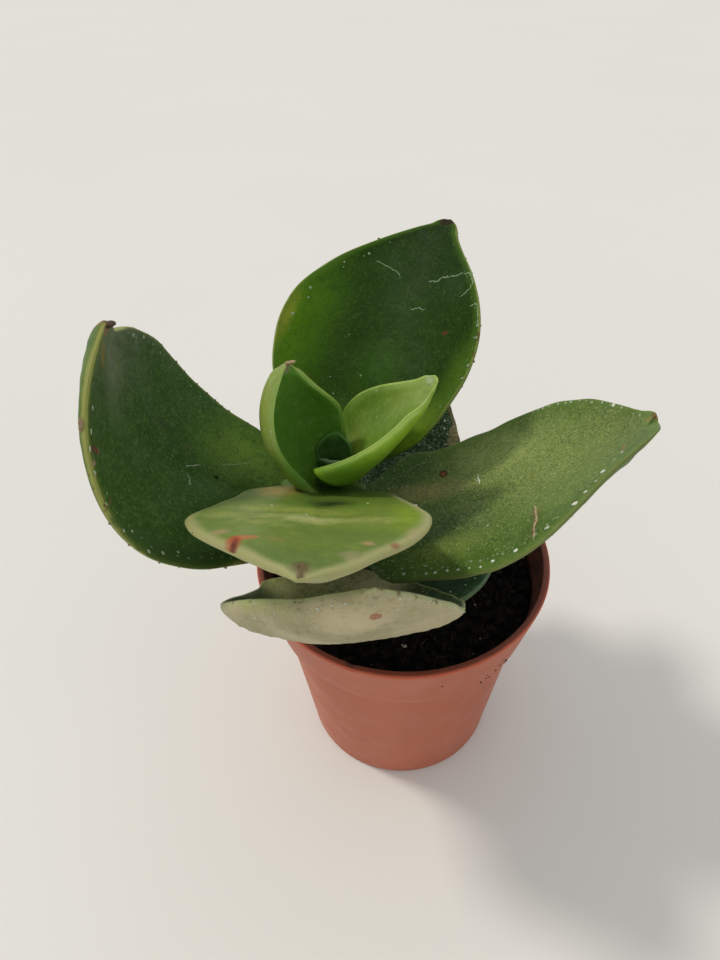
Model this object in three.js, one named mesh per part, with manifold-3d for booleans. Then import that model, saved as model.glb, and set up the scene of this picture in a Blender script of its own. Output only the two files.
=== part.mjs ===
// A small leafy succulent in a plastic nursery pot, in millimetres, +Z up.
// The origin is the centre of the pot's underside. +X is the right of the plant as seen from its front (-Y).

import * as THREE from "three";
import { mergeVertices } from "three/addons/utils/BufferGeometryUtils.js";
import Module from "manifold-3d";

const wasm = await Module();
wasm.setup();

// Pot: a tapered body with a stepped collar at its top
const potHeight = 48.8;
const potRimRadius = 27.5;
const potBaseRadius = 19.6;
const potWall = 1.0;
const potFloor = 1.5;
const collarHeight = 12.8;
const collarStep = 1.25;
const bodyTopRadius = 23.7;
const lipWidth = 1.3;
const drainHoles = { count: 5, radius: 2.4, circle: 12.5 };
const roundSides = 72;

// Soil: fills the pot to a few millimetres under the lip, with a lumpy top
const soilLevel = 43.2;
const soilDip = 0.9;
const soilLump = 0.3;
const soilRings = 9;
const soilSides = 56;

// Pieces that touch keep this much air between their solids
const seatGap = 0.3;

// Stem: leans to the left and front as it rises, thick at the soil and thin under the bud
const stemFoot = 30;
const stemTop = 74.5;
const stemSides = 18;
const stemSteps = 14;
const leanHeight = { from: 40, over: 36 };
const leanX = { start: -7.5, rate: -9.5, ease: 5 };
const leanY = { start: -1.5, rate: -5.5, ease: 2.5 };
const stemRadii = [
    [30, 3.4],
    [44, 4.4],
    [60, 3.9],
    [70, 2.8],
    [74.5, 1.5],
];

// Leaf grid: stations along the midrib, closer together towards the tip, and points across the blade
const bladeStations = [0, 0.065, 0.13, 0.195, 0.26, 0.325, 0.39, 0.455, 0.52, 0.585, 0.65, 0.715, 0.78];
const tipStations = [0.84, 0.89, 0.93, 0.96, 0.98];
const acrossPoints = 9;
const midribSteps = 200;
const upperShare = 0.35;
const neckShare = 0.6;
const neckEnd = 0.18;
const bellyRoundness = 2.6;
const marginBulge = 0.42;
const marginTuck = 0.12;

// Each leaf is grown from its seat on the stem. Angles are in degrees.
// seat: height on the stem, reach of the blade's start from the stem's axis, and its shift aside
// heading: compass direction of the midrib (0 is +X, 90 is +Y), then how it turns along the leaf
// rise: slope of the midrib, then how it bends upward along the leaf
// roll: tilt of the blade about its midrib at the seat, then how it twists along the leaf
// cup: how far each half has curled up at its margin, at the seat, then the change towards the tip
// outline: half-width at the seat as a share, where the blade is widest, and how full it is
const leaves = {
    leaf_left: {
        seat: { height: 65.2, reach: 3.4, aside: -1.2 },
        heading: [193.5, 14.5, 0],
        rise: [22, 23.5, 78],
        roll: [-3.5, -24.5],
        cup: { plus: [27, -19], minus: [23, -9] },
        size: { length: 53.5, width: 39.5, skew: -0.02, hook: 0.9 },
        outline: { base: 0.51, widest: 1.3, fullness: 0.75 },
        thickness: { base: 3.2, tip: 2, margin: 1.2 },
        color: "#3d5a26",
        clears: [],
    },
    leaf_right: {
        seat: { height: 62.5, reach: 4.1, aside: -0.8 },
        heading: [-13.5, 2.5, -1.5],
        rise: [14, 38, 0],
        roll: [-1.5, -19.5],
        cup: { plus: [22, 17], minus: [-9, 18] },
        size: { length: 50.5, width: 37.5, skew: -0.03, hook: 0.1 },
        outline: { base: 0.66, widest: 1.4, fullness: 0.89 },
        thickness: { base: 3.2, tip: 2, margin: 1.1 },
        color: "#4d6a34",
        clears: [],
    },
    leaf_back: {
        seat: { height: 70.3, reach: 3.2, aside: 0.6 },
        heading: [63.5, -9.5, 0],
        rise: [42, -11.5, 0.5],
        roll: [4, -10.5],
        cup: { plus: [36, -12], minus: [27, 4] },
        size: { length: 48, width: 36.5, skew: 0.04, hook: -0.3 },
        outline: { base: 0.37, widest: 0.94, fullness: 0.97 },
        thickness: { base: 3.2, tip: 2, margin: 1.1 },
        color: "#43691c",
        clears: ["leaf_front"],
    },
    leaf_front: {
        seat: { height: 70.6, reach: 2, aside: -1.1 },
        heading: [-90, 7.5, -22],
        rise: [34, 4, -14],
        roll: [-4.5, 1.5],
        cup: { plus: [8, 11], minus: [12, -20] },
        size: { length: 42.5, width: 29.5, skew: -0.06, hook: 1.2 },
        outline: { base: 0.69, widest: 1.31, fullness: 1.07 },
        thickness: { base: 3.2, tip: 2.3, margin: 1.8 },
        color: "#6f8848",
        clears: ["young_leaf_left"],
    },
    leaf_front_lower: {
        seat: { height: 56.1, reach: 6.2, aside: -2.7 },
        heading: [-81.5, 7.5, 1],
        rise: [7.5, 68, 11.5],
        roll: [0.5, -9],
        cup: { plus: [26, -20], minus: [38, 3] },
        size: { length: 45.5, width: 34, skew: -0.1, hook: -0.2 },
        outline: { base: 0.21, widest: 1.11, fullness: 0.83 },
        thickness: { base: 3.2, tip: 2, margin: 1.3 },
        color: "#a39a78",
        clears: [],
    },
    leaf_back_lower: {
        seat: { height: 56, reach: 3, aside: -0.3 },
        heading: [78, -1, -0.5],
        rise: [19, 12.5, -0.5],
        roll: [2.5, 2.5],
        cup: { plus: [29, 0], minus: [23, -4] },
        size: { length: 39.5, width: 33.5, skew: -0.01, hook: 0 },
        outline: { base: 0.35, widest: 0.91, fullness: 0.74 },
        thickness: { base: 3, tip: 2, margin: 1.2 },
        color: "#2f4526",
        clears: [],
    },
    leaf_right_lower: {
        seat: { height: 50.9, reach: 2.6, aside: -0.1 },
        heading: [-6.5, 5, 0],
        rise: [13, -3.5, 0.5],
        roll: [2.5, 2.5],
        cup: { plus: [17, 0], minus: [17, -4] },
        size: { length: 25, width: 24.5, skew: -0.01, hook: 0.2 },
        outline: { base: 0.4, widest: 1.26, fullness: 0.79 },
        thickness: { base: 3, tip: 2, margin: 1.2 },
        color: "#33492a",
        clears: [],
    },
    young_leaf_left: {
        seat: { height: 71.5, reach: 1.4, aside: 0.9 },
        heading: [172, -6.5, -1],
        rise: [58, 21.5, 30],
        roll: [-12.5, -24],
        cup: { plus: [69, 10], minus: [94, 5] },
        size: { length: 23.5, width: 18, skew: 0.01, hook: -0.7 },
        outline: { base: 0.65, widest: 1.06, fullness: 0.78 },
        thickness: { base: 2.6, tip: 1.7, margin: 0.9 },
        color: "#4f7a22",
        clears: ["young_leaf_right"],
    },
    young_leaf_right: {
        seat: { height: 73.6, reach: 2.1, aside: -0.7 },
        heading: [-9.5, 12.5, 6],
        rise: [51.5, 1.5, 2],
        roll: [-3, 9],
        cup: { plus: [53, -5], minus: [86, -40] },
        size: { length: 23, width: 21.5, skew: -0.02, hook: -0.5 },
        outline: { base: 0.62, widest: 0.39, fullness: 0.96 },
        thickness: { base: 2.8, tip: 1.9, margin: 0.9 },
        color: "#66892f",
        clears: [],
    },
    bud_leaf_back: {
        seat: { height: 74, reach: 0.2, aside: 0.5 },
        heading: [78, 0, 0],
        rise: [72, 5, 8],
        roll: [0, 0],
        cup: { plus: [45, 0], minus: [45, 0] },
        size: { length: 6.2, width: 4.8, skew: 0, hook: 0 },
        outline: { base: 0.7, widest: 1, fullness: 0.8 },
        thickness: { base: 1.6, tip: 1.1, margin: 0.7 },
        color: "#243a1b",
        clears: ["young_leaf_left", "young_leaf_right"],
    },
    bud_leaf_front: {
        seat: { height: 73.6, reach: 0.5, aside: 0.6 },
        heading: [-105, 0, 0],
        rise: [60, 10, 10],
        roll: [0, 0],
        cup: { plus: [45, 0], minus: [45, 0] },
        size: { length: 4, width: 5, skew: 0, hook: 0 },
        outline: { base: 0.75, widest: 1, fullness: 0.65 },
        thickness: { base: 1.6, tip: 1.1, margin: 0.7 },
        color: "#2c4420",
        clears: ["young_leaf_left", "young_leaf_right", "bud_leaf_back"],
    },
};

const radians = THREE.MathUtils.degToRad;

// A closed solid from a geometry, with its shared corners merged and its faces turned outward
function toSolid(geometry) {
    geometry.deleteAttribute("normal");
    geometry.deleteAttribute("uv");
    const merged = mergeVertices(geometry, 1e-4);
    const corners = merged.index.array;
    const faces = [];
    for (let i = 0; i < corners.length; i += 3) {
        const [a, b, c] = [corners[i], corners[i + 1], corners[i + 2]];
        if (a !== b && b !== c && c !== a) faces.push(a, b, c);
    }
    const position = merged.attributes.position;
    if (signedVolume(position, faces) < 0) {
        for (let i = 0; i < faces.length; i += 3) [faces[i], faces[i + 1]] = [faces[i + 1], faces[i]];
    }
    return new wasm.Manifold(new wasm.Mesh({
        numProp: 3,
        vertProperties: new Float32Array(position.array),
        triVerts: new Uint32Array(faces),
    }));
}

function signedVolume(position, faces) {
    const [a, b, c] = [new THREE.Vector3(), new THREE.Vector3(), new THREE.Vector3()];
    let sum = 0;
    for (let i = 0; i < faces.length; i += 3) {
        a.fromBufferAttribute(position, faces[i]);
        b.fromBufferAttribute(position, faces[i + 1]);
        c.fromBufferAttribute(position, faces[i + 2]);
        sum += a.dot(b.cross(c));
    }
    return sum / 6;
}

// The largest body of a solid, so that a cut leaves no loose crumb
function largestBody(solid) {
    return solid.decompose().sort((a, b) => b.volume() - a.volume())[0];
}

function toMesh(name, solid, material) {
    const data = solid.getMesh();
    const geometry = new THREE.BufferGeometry();
    geometry.setAttribute("position", new THREE.BufferAttribute(data.vertProperties, 3));
    geometry.setIndex(new THREE.BufferAttribute(data.triVerts, 1));
    geometry.computeVertexNormals();
    const mesh = new THREE.Mesh(geometry, material);
    mesh.name = name;
    return mesh;
}

// A closed skin over rings of equal length, with a point at each end
function ringGeometry(rings, startPoint, endPoint) {
    const sides = rings[0].length;
    const points = [...rings.flat(), startPoint, endPoint];
    const start = points.length - 2;
    const last = (rings.length - 1) * sides;
    const faces = [];
    for (let j = 0; j < sides; j += 1) {
        const next = (j + 1) % sides;
        faces.push(start, next, j);
        faces.push(start + 1, last + j, last + next);
        for (let i = 0; i < last; i += sides) {
            faces.push(i + j, i + next, i + sides + next);
            faces.push(i + j, i + sides + next, i + sides + j);
        }
    }
    const geometry = new THREE.BufferGeometry().setFromPoints(points);
    geometry.setIndex(faces);
    return geometry;
}

function circleRing(centre, radius, sides) {
    return Array.from({ length: sides }, (_, i) => {
        const angle = (i / sides) * 2 * Math.PI;
        return new THREE.Vector3(radius * Math.cos(angle), radius * Math.sin(angle), 0).add(centre);
    });
}

// Inner radius of the pot at a height above its floor
function potInside(height) {
    const collarFoot = potHeight - collarHeight;
    const body = (z) => THREE.MathUtils.mapLinear(z, 0, collarFoot, potBaseRadius, bodyTopRadius) - potWall;
    const collarTop = potRimRadius - lipWidth;
    const stepEnd = collarFoot + collarStep;
    if (height <= collarFoot) return body(height);
    if (height >= stepEnd) {
        const foot = body(collarFoot) + collarStep;
        return THREE.MathUtils.mapLinear(height, stepEnd, potHeight, foot, collarTop);
    }
    return body(collarFoot) + height - collarFoot;
}

function potSolid() {
    const collarFoot = potHeight - collarHeight;
    const edge = 0.4;
    const outline = [
        [0, 0],
        [potBaseRadius - 2 * edge, 0],
        [potBaseRadius, 2 * edge],
        [bodyTopRadius, collarFoot],
        [bodyTopRadius + collarStep - edge, collarFoot],
        [bodyTopRadius + collarStep, collarFoot + edge],
        [potRimRadius - edge / 2, potHeight - 1],
        [potRimRadius, potHeight - edge],
        [potRimRadius - edge, potHeight],
        [potRimRadius - lipWidth + edge, potHeight],
        [potInside(potHeight - edge), potHeight - edge],
        [potInside(collarFoot + collarStep), collarFoot + collarStep],
        [potInside(collarFoot), collarFoot],
        [potInside(potFloor + 1), potFloor + 1],
        [potInside(potFloor) - 1, potFloor],
        [0, potFloor],
    ];
    const lathe = new THREE.LatheGeometry(outline.map(([r, z]) => new THREE.Vector2(r, z)), roundSides);
    let solid = toSolid(lathe.rotateX(Math.PI / 2));
    for (let i = 0; i < drainHoles.count; i += 1) {
        const angle = (i / drainHoles.count) * 2 * Math.PI;
        const hole = new THREE.CylinderGeometry(drainHoles.radius, drainHoles.radius, 3 * potFloor, 20);
        hole.rotateX(Math.PI / 2);
        hole.translate(drainHoles.circle * Math.cos(angle), drainHoles.circle * Math.sin(angle), 0);
        solid = solid.subtract(toSolid(hole));
    }
    return solid;
}

// Height of the soil's top at a place: lumps on a surface that dips a little towards the pot's wall
function soilHeight(x, y) {
    const lumps = Math.sin(0.9 * x + 1.3) * Math.cos(0.8 * y - 0.4)
        + 0.7 * Math.sin(1.7 * x - 1.1 * y + 0.5)
        + 0.5 * Math.cos(0.6 * x + 1.9 * y);
    const fromMiddle = Math.hypot(x, y) / potRimRadius;
    return soilLevel + soilLump * lumps - soilDip * fromMiddle * fromMiddle;
}

function soilSolid() {
    const bottom = potFloor + seatGap;
    const edgeHeight = soilLevel - soilDip - 0.4;
    const wallHeights = [bottom, potFloor + 1.6, potHeight - collarHeight, potHeight - collarHeight + collarStep];
    const rings = wallHeights.map((z) => {
        const tuck = z === bottom ? 1.2 : 0;
        return circleRing(new THREE.Vector3(0, 0, z), potInside(z) - seatGap - tuck, soilSides);
    });
    const edgeRadius = potInside(edgeHeight) - seatGap;
    for (let k = soilRings; k > 0; k -= 1) {
        const ring = circleRing(new THREE.Vector3(), (edgeRadius * k) / soilRings, soilSides);
        ring.forEach((p) => p.setZ(soilHeight(p.x, p.y)));
        if (k === soilRings) ring.forEach((p) => p.setZ(Math.min(p.z, edgeHeight + 0.6)));
        rings.push(ring);
    }
    const foot = new THREE.Vector3(0, 0, bottom);
    const crown = new THREE.Vector3(0, 0, soilHeight(0, 0));
    return toSolid(ringGeometry(rings, foot, crown));
}

// Centre of the stem at a height
function stemCentre(height) {
    const f = (height - leanHeight.from) / leanHeight.over;
    const x = leanX.start + leanX.rate * f + leanX.ease * f * f;
    const y = leanY.start + leanY.rate * f + leanY.ease * f * f;
    return new THREE.Vector3(x, y, height);
}

function stemRadius(height) {
    const above = stemRadii.findIndex(([z]) => z >= height);
    if (above <= 0) return stemRadii.at(above)[1];
    const [lowZ, lowR] = stemRadii[above - 1];
    const [highZ, highR] = stemRadii[above];
    return THREE.MathUtils.mapLinear(height, lowZ, highZ, lowR, highR);
}

function stemSolid(grow = 0) {
    const rings = [];
    for (let i = 0; i <= stemSteps; i += 1) {
        const height = THREE.MathUtils.lerp(stemFoot, stemTop, i / stemSteps);
        rings.push(circleRing(stemCentre(height), stemRadius(height) + grow, stemSides));
    }
    const foot = stemCentre(stemFoot - grow);
    const top = stemCentre(stemTop + 0.5 + grow);
    return toSolid(ringGeometry(rings, foot, top));
}

// A quantity that changes along the leaf: its value at the seat, then its first and second order change
function along([start, change, curve = 0], t) {
    return start + change * t + curve * t * t;
}

function midribDirection(leaf, t) {
    const rise = radians(along(leaf.rise, t));
    const heading = radians(along(leaf.heading, t));
    const flat = Math.cos(rise);
    return new THREE.Vector3(flat * Math.cos(heading), flat * Math.sin(heading), Math.sin(rise));
}

function leafSeat(leaf) {
    const heading = radians(leaf.heading[0]);
    const outward = new THREE.Vector3(Math.cos(heading), Math.sin(heading), 0);
    const sideways = new THREE.Vector3(-Math.sin(heading), Math.cos(heading), 0);
    return stemCentre(leaf.seat.height)
        .addScaledVector(outward, leaf.seat.reach)
        .addScaledVector(sideways, leaf.seat.aside);
}

// Points of the midrib from the seat to the tip, in equal steps
function midribPoints(leaf) {
    const step = leaf.size.length / midribSteps;
    const points = [leafSeat(leaf)];
    for (let i = 1; i <= midribSteps; i += 1) {
        const direction = midribDirection(leaf, (i - 0.5) / midribSteps);
        points.push(points[i - 1].clone().addScaledVector(direction, step));
    }
    return points;
}

// The blade's frame at a station: its midrib point, and unit vectors sideways and upward
function bladeFrame(leaf, midrib, t) {
    const heading = radians(along(leaf.heading, t));
    const level = new THREE.Vector3(-Math.sin(heading), Math.cos(heading), 0);
    const normal = new THREE.Vector3().crossVectors(midribDirection(leaf, t), level);
    const roll = radians(along(leaf.roll, t));
    const side = level.clone().multiplyScalar(Math.cos(roll)).addScaledVector(normal, Math.sin(roll));
    const up = normal.multiplyScalar(Math.cos(roll)).addScaledVector(level, -Math.sin(roll));
    const hook = leaf.size.hook * Math.max((t - 0.6) / 0.4, 0) ** 3;
    const point = midrib[Math.round(t * midribSteps)].clone().addScaledVector(side, hook);
    return { point, side, up };
}

// Half of the blade's width, measured along its curled surface
function halfWidth(leaf, t) {
    const { base, widest, fullness } = leaf.outline;
    const foot = base * (1 - t) ** 2 * (1 + 2 * t);
    const belly = Math.sin(Math.PI * t ** widest) ** fullness;
    const neck = THREE.MathUtils.lerp(neckShare, 1, THREE.MathUtils.smoothstep(t, 0, neckEnd));
    return (leaf.size.width / 2) * (foot + (1 - foot) * belly) * neck;
}

// A point of the blade's middle surface at v across (-1 to 1), with its own sideways and upward vectors
function bladePoint(leaf, frame, t, v) {
    const sign = v < 0 ? -1 : 1;
    const gain = v < 0 ? leaf.cup.minus : leaf.cup.plus;
    const curl = radians(along(gain, t)) || 1e-3;
    const width = halfWidth(leaf, t) * (1 + sign * leaf.size.skew);
    const angle = curl * Math.abs(v);
    const point = frame.point.clone()
        .addScaledVector(frame.side, (sign * width * Math.sin(angle)) / curl)
        .addScaledVector(frame.up, (width * (1 - Math.cos(angle))) / curl);
    const lean = sign * Math.sin(angle);
    const side = frame.side.clone().multiplyScalar(Math.cos(angle)).addScaledVector(frame.up, lean);
    const up = frame.up.clone().multiplyScalar(Math.cos(angle)).addScaledVector(frame.side, -lean);
    return { point, side, up };
}

// One closed section of a leaf: its upper face, its far margin, its lower face and its near margin
function leafRing(leaf, midrib, t, grow) {
    const frame = bladeFrame(leaf, midrib, t);
    const { base, tip, margin } = leaf.thickness;
    const edge = margin * Math.min(Math.max((1 - t) / 0.06, 0.55), 1);
    const middle = Math.min(THREE.MathUtils.lerp(base, tip, t), 0.3 * halfWidth(leaf, t) + edge);
    const upper = [];
    const lower = [];
    const margins = [];
    for (let i = 0; i < acrossPoints; i += 1) {
        const v = -Math.cos((i / (acrossPoints - 1)) * Math.PI);
        const swell = Math.sqrt(Math.max(1 - Math.abs(v) ** bellyRoundness, 0));
        const thick = edge + Math.max(middle - edge, 0) * swell;
        const { point, side, up } = bladePoint(leaf, frame, t, v);
        const isEdge = i === 0 || i === acrossPoints - 1;
        const inward = isEdge && grow === 0 ? -Math.sign(v) * marginTuck * edge : 0;
        const high = point.clone().addScaledVector(up, upperShare * thick + grow);
        const low = point.clone().addScaledVector(up, -(1 - upperShare) * thick - grow);
        upper.push(high.addScaledVector(side, inward));
        lower.push(low.addScaledVector(side, inward));
        if (isEdge) {
            const out = Math.sign(v) * (marginBulge * edge + grow);
            margins.push(point.clone().addScaledVector(up, (upperShare - 0.5) * edge).addScaledVector(side, out));
        }
    }
    return [...upper, margins[1], ...lower.reverse(), margins[0]];
}

function middleOf(ring) {
    const sum = ring.reduce((total, p) => total.add(p), new THREE.Vector3());
    return sum.divideScalar(ring.length);
}

function leafSolid(leaf, grow = 0) {
    const midrib = midribPoints(leaf);
    const rings = [...bladeStations, ...tipStations].map((t) => leafRing(leaf, midrib, t, grow));
    const heading = radians(leaf.heading[0]);
    const inward = new THREE.Vector3(-Math.cos(heading), -Math.sin(heading), 0);
    const heel = Math.max(leaf.seat.reach - 0.8, 0.1) + grow;
    rings.unshift(rings[0].map((p) => p.clone().addScaledVector(inward, heel)));
    const point = bladeFrame(leaf, midrib, 1).point;
    const beyond = point.clone().sub(middleOf(rings.at(-1))).multiplyScalar(0.15);
    const tip = point.clone().add(beyond).addScaledVector(midribDirection(leaf, 1), grow);
    return toSolid(ringGeometry(rings, middleOf(rings[0]), tip));
}

// A leaf with the stem's place and its neighbours' places cut away, so that nothing crosses
function seatedLeaf(name) {
    const leaf = leaves[name];
    let solid = leafSolid(leaf).subtract(stemSolid(seatGap));
    for (const other of leaf.clears) {
        solid = solid.subtract(leafSolid(leaves[other], seatGap));
    }
    return largestBody(solid);
}

const plastic = new THREE.MeshStandardMaterial({ color: "#b5674a", roughness: 0.45, metalness: 0 });
const earth = new THREE.MeshStandardMaterial({ color: "#1d1713", roughness: 0.95, metalness: 0 });
const bark = new THREE.MeshStandardMaterial({ color: "#6d6a45", roughness: 0.7, metalness: 0 });

const plant = new THREE.Group();
plant.add(toMesh("pot", potSolid(), plastic));
plant.add(toMesh("soil", soilSolid().subtract(stemSolid(seatGap)), earth));
plant.add(toMesh("stem", stemSolid(), bark));
for (const name of Object.keys(leaves)) {
    const skin = new THREE.MeshStandardMaterial({ color: leaves[name].color, roughness: 0.4, metalness: 0 });
    plant.add(toMesh(name, seatedLeaf(name), skin));
}

export default plant;
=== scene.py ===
import math

import bmesh
import bpy
import numpy as np
from mathutils import Matrix, Vector
from mathutils.bvhtree import BVHTree


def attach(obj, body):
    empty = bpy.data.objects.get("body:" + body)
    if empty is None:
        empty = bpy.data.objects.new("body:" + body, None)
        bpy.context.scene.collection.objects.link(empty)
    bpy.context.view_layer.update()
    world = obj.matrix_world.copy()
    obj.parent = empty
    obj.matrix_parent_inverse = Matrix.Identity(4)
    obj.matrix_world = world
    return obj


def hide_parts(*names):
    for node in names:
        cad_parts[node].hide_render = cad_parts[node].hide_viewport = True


# A young thick-leaved succulent in a plastic nursery pot, +Z up, around the centre of the pot's underside
# Shapes are worked out in millimetres and become metres when their mesh is made
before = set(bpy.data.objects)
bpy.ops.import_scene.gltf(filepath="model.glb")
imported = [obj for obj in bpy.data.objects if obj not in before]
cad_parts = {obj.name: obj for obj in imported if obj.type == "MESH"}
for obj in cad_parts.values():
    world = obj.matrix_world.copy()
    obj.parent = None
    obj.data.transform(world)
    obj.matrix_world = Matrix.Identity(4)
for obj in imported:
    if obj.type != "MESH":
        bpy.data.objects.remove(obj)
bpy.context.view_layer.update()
mm = 0.001
body = "root"
print("frame loaded:", len(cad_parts), "pieces")


# Meshes

def makePiece(name, points, faces, materials, faceSlots=None, readings=None, node=None):
    mesh = bpy.data.meshes.new(name)
    mesh.from_pydata((np.asarray(points, float) * mm).tolist(), [], faces)
    for material in materials:
        mesh.materials.append(material)
    if faceSlots is not None:
        mesh.polygons.foreach_set("material_index", faceSlots)
    for label, values in (readings or {}).items():
        kind, field = ("FLOAT_VECTOR", "vector") if values.ndim == 2 else ("FLOAT", "value")
        layer = mesh.attributes.new(label, kind, "POINT")
        layer.data.foreach_set(field, values.astype(np.float32).ravel())
    turnOutward(mesh)
    mesh.shade_smooth()
    piece = bpy.data.objects.new(name, mesh)
    bpy.context.scene.collection.objects.link(piece)
    if node:
        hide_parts(node)
    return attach(piece, body)


def turnOutward(mesh):
    work = bmesh.new()
    work.from_mesh(mesh)
    bmesh.ops.recalc_face_normals(work, faces=work.faces)
    work.to_mesh(mesh)
    work.free()


# Quads between rings that all have the same number of points
def bandFaces(ringCount, sides):
    faces = []
    for low in range(0, (ringCount - 1) * sides, sides):
        for j in range(sides):
            k = (j + 1) % sides
            faces.append((low + j, low + k, low + sides + k, low + sides + j))
    return faces


# A fan from one ring to a single point
def fanFaces(ringStart, sides, point):
    return [(ringStart + j, ringStart + (j + 1) % sides, point) for j in range(sides)]


# Rings closed by a fan at each end, with the two end points listed after the rings
def closedFaces(ringCount, sides):
    total = ringCount * sides
    ends = fanFaces(0, sides, total) + fanFaces(total - sides, sides, total + 1)
    return bandFaces(ringCount, sides) + ends


# Rings closed by one flat face at each end
def tubeFaces(ringCount, sides):
    total = ringCount * sides
    return bandFaces(ringCount, sides) + [tuple(range(sides)), tuple(range(total - sides, total))]


def turnsRound(sides):
    return np.arange(sides) / sides * 2 * math.pi


# Points of a flat ring of radius 1
def unitRing(sides):
    turns = turnsRound(sides)
    return np.stack([np.cos(turns), np.sin(turns), np.zeros(sides)], 1)


def carve(piece, points, faces):
    cutterMesh = bpy.data.meshes.new("cutter")
    cutterMesh.from_pydata((np.asarray(points) * mm).tolist(), [], faces)
    turnOutward(cutterMesh)
    cutter = bpy.data.objects.new("cutter", cutterMesh)
    bpy.context.scene.collection.objects.link(cutter)
    cut = piece.modifiers.new("cut", "BOOLEAN")
    cut.operation = "DIFFERENCE"
    cut.solver = "EXACT"
    cut.object = cutter
    bpy.context.view_layer.objects.active = piece
    bpy.ops.object.modifier_apply(modifier=cut.name)
    bpy.data.objects.remove(cutter)


# Smooth lumps between -1 and 1 at each point: waves that cross in seeded directions
def lumps(points, size, seed, waves=7):
    draw = np.random.default_rng(seed)
    total = np.zeros(points.shape[:-1])
    for _ in range(waves):
        way = draw.normal(size=points.shape[-1])
        way /= np.linalg.norm(way)
        length = size * draw.uniform(0.7, 1.5)
        total += np.sin(points @ way * 2 * math.pi / length + draw.uniform(0, 2 * math.pi))
    return total / math.sqrt(waves * 1.6)


def smoothStep(value, low, high):
    share = np.clip((value - low) / (high - low), 0, 1)
    return share * share * (3 - 2 * share)


# Shader nodes

# A colour written as #rrggbb, in Blender's linear values
def paint(code):
    parts = [int(code[i:i + 2], 16) / 255 for i in (1, 3, 5)]
    linear = [c / 12.92 if c <= 0.04045 else ((c + 0.055) / 1.055) ** 2.4 for c in parts]
    return (*linear, 1.0)


def fillSocket(tree, socket, value):
    if isinstance(value, bpy.types.NodeSocket):
        tree.links.new(value, socket)
    elif isinstance(value, str):
        socket.default_value = paint(value)
    else:
        socket.default_value = value


def addNode(tree, kind, sockets=None, **settings):
    made = tree.nodes.new("ShaderNode" + kind)
    for name, value in settings.items():
        setattr(made, name, value)
    for name, value in (sockets or {}).items():
        fillSocket(tree, made.inputs[name], value)
    return made


def blankMaterial(name, **sockets):
    material = bpy.data.materials.new(name)
    material.use_nodes = True
    tree = material.node_tree
    shader = tree.nodes["Principled BSDF"]
    for label, value in sockets.items():
        shader.inputs[label.replace("_", " ")].default_value = value
    return material, tree, shader


def solidPlace(tree):
    return addNode(tree, "TexCoord").outputs["Object"]


def reading(tree, name, output="Fac"):
    return addNode(tree, "Attribute", attribute_name=name).outputs[output]


def maths(tree, operation, first, second):
    return addNode(tree, "Math", {0: first, 1: second}, operation=operation).outputs[0]


def plus(tree, first, second):
    return maths(tree, "ADD", first, second)


def times(tree, first, second):
    return maths(tree, "MULTIPLY", first, second)


# A noise between 0 and 1, made to swing around zero
def swing(tree, noise, amount):
    return times(tree, maths(tree, "SUBTRACT", noise, 0.5), amount)


def vectorMaths(tree, operation, *values):
    made = addNode(tree, "VectorMath", dict(enumerate(values)), operation=operation)
    return made.outputs["Value" if operation == "LENGTH" else "Vector"]


# Height over the ground in millimetres
def heightOf(tree, place):
    return maths(tree, "DIVIDE", addNode(tree, "SeparateXYZ", {0: place}).outputs["Z"], mm)


def spread(tree, value, low, high, toLow=0.0, toHigh=1.0):
    sockets = {"Value": value, "From Min": low, "From Max": high, "To Min": toLow, "To Max": toHigh}
    return addNode(tree, "MapRange", sockets, interpolation_type="SMOOTHSTEP").outputs["Result"]


# Noise whose grains have a size in millimetres
def grain(tree, place, size, detail, rough=0.55, warp=0.0):
    sockets = {
        "Vector": place,
        "Scale": 1 / (size * mm),
        "Detail": detail,
        "Roughness": rough,
        "Distortion": warp,
    }
    return addNode(tree, "TexNoise", sockets).outputs[0]


# Inputs 6 and 7 and output 2 of the node are its colours
def blend(tree, share, under, over):
    made = addNode(tree, "Mix", data_type="RGBA")
    for place, value in ((0, share), (6, under), (7, over)):
        fillSocket(tree, made.inputs[place], value)
    return made.outputs[2]


def stretched(tree, place, scale):
    return addNode(tree, "Mapping", {"Vector": place, "Scale": scale}).outputs["Vector"]


def bump(tree, height, depth, strength=1.0):
    sockets = {"Height": height, "Distance": depth * mm, "Strength": strength}
    return addNode(tree, "Bump", sockets).outputs["Normal"]


def dress(tree, shader, color, rough, normal):
    for label, value in (("Base Color", color), ("Roughness", rough), ("Normal", normal)):
        fillSocket(tree, shader.inputs[label], value)


# Share of a round mark at a place: 1 inside it, 0 outside, with a soft and ragged edge
def markShare(tree, place, centre, size, soft, wobble, ragged):
    gap = vectorMaths(tree, "DIVIDE", vectorMaths(tree, "SUBTRACT", place, centre), size)
    distance = plus(tree, vectorMaths(tree, "LENGTH", gap), swing(tree, wobble, ragged))
    return spread(tree, distance, 1.0, 1.0 - soft)


# Pot: tapered plastic with a stepped collar and a thin lip

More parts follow.
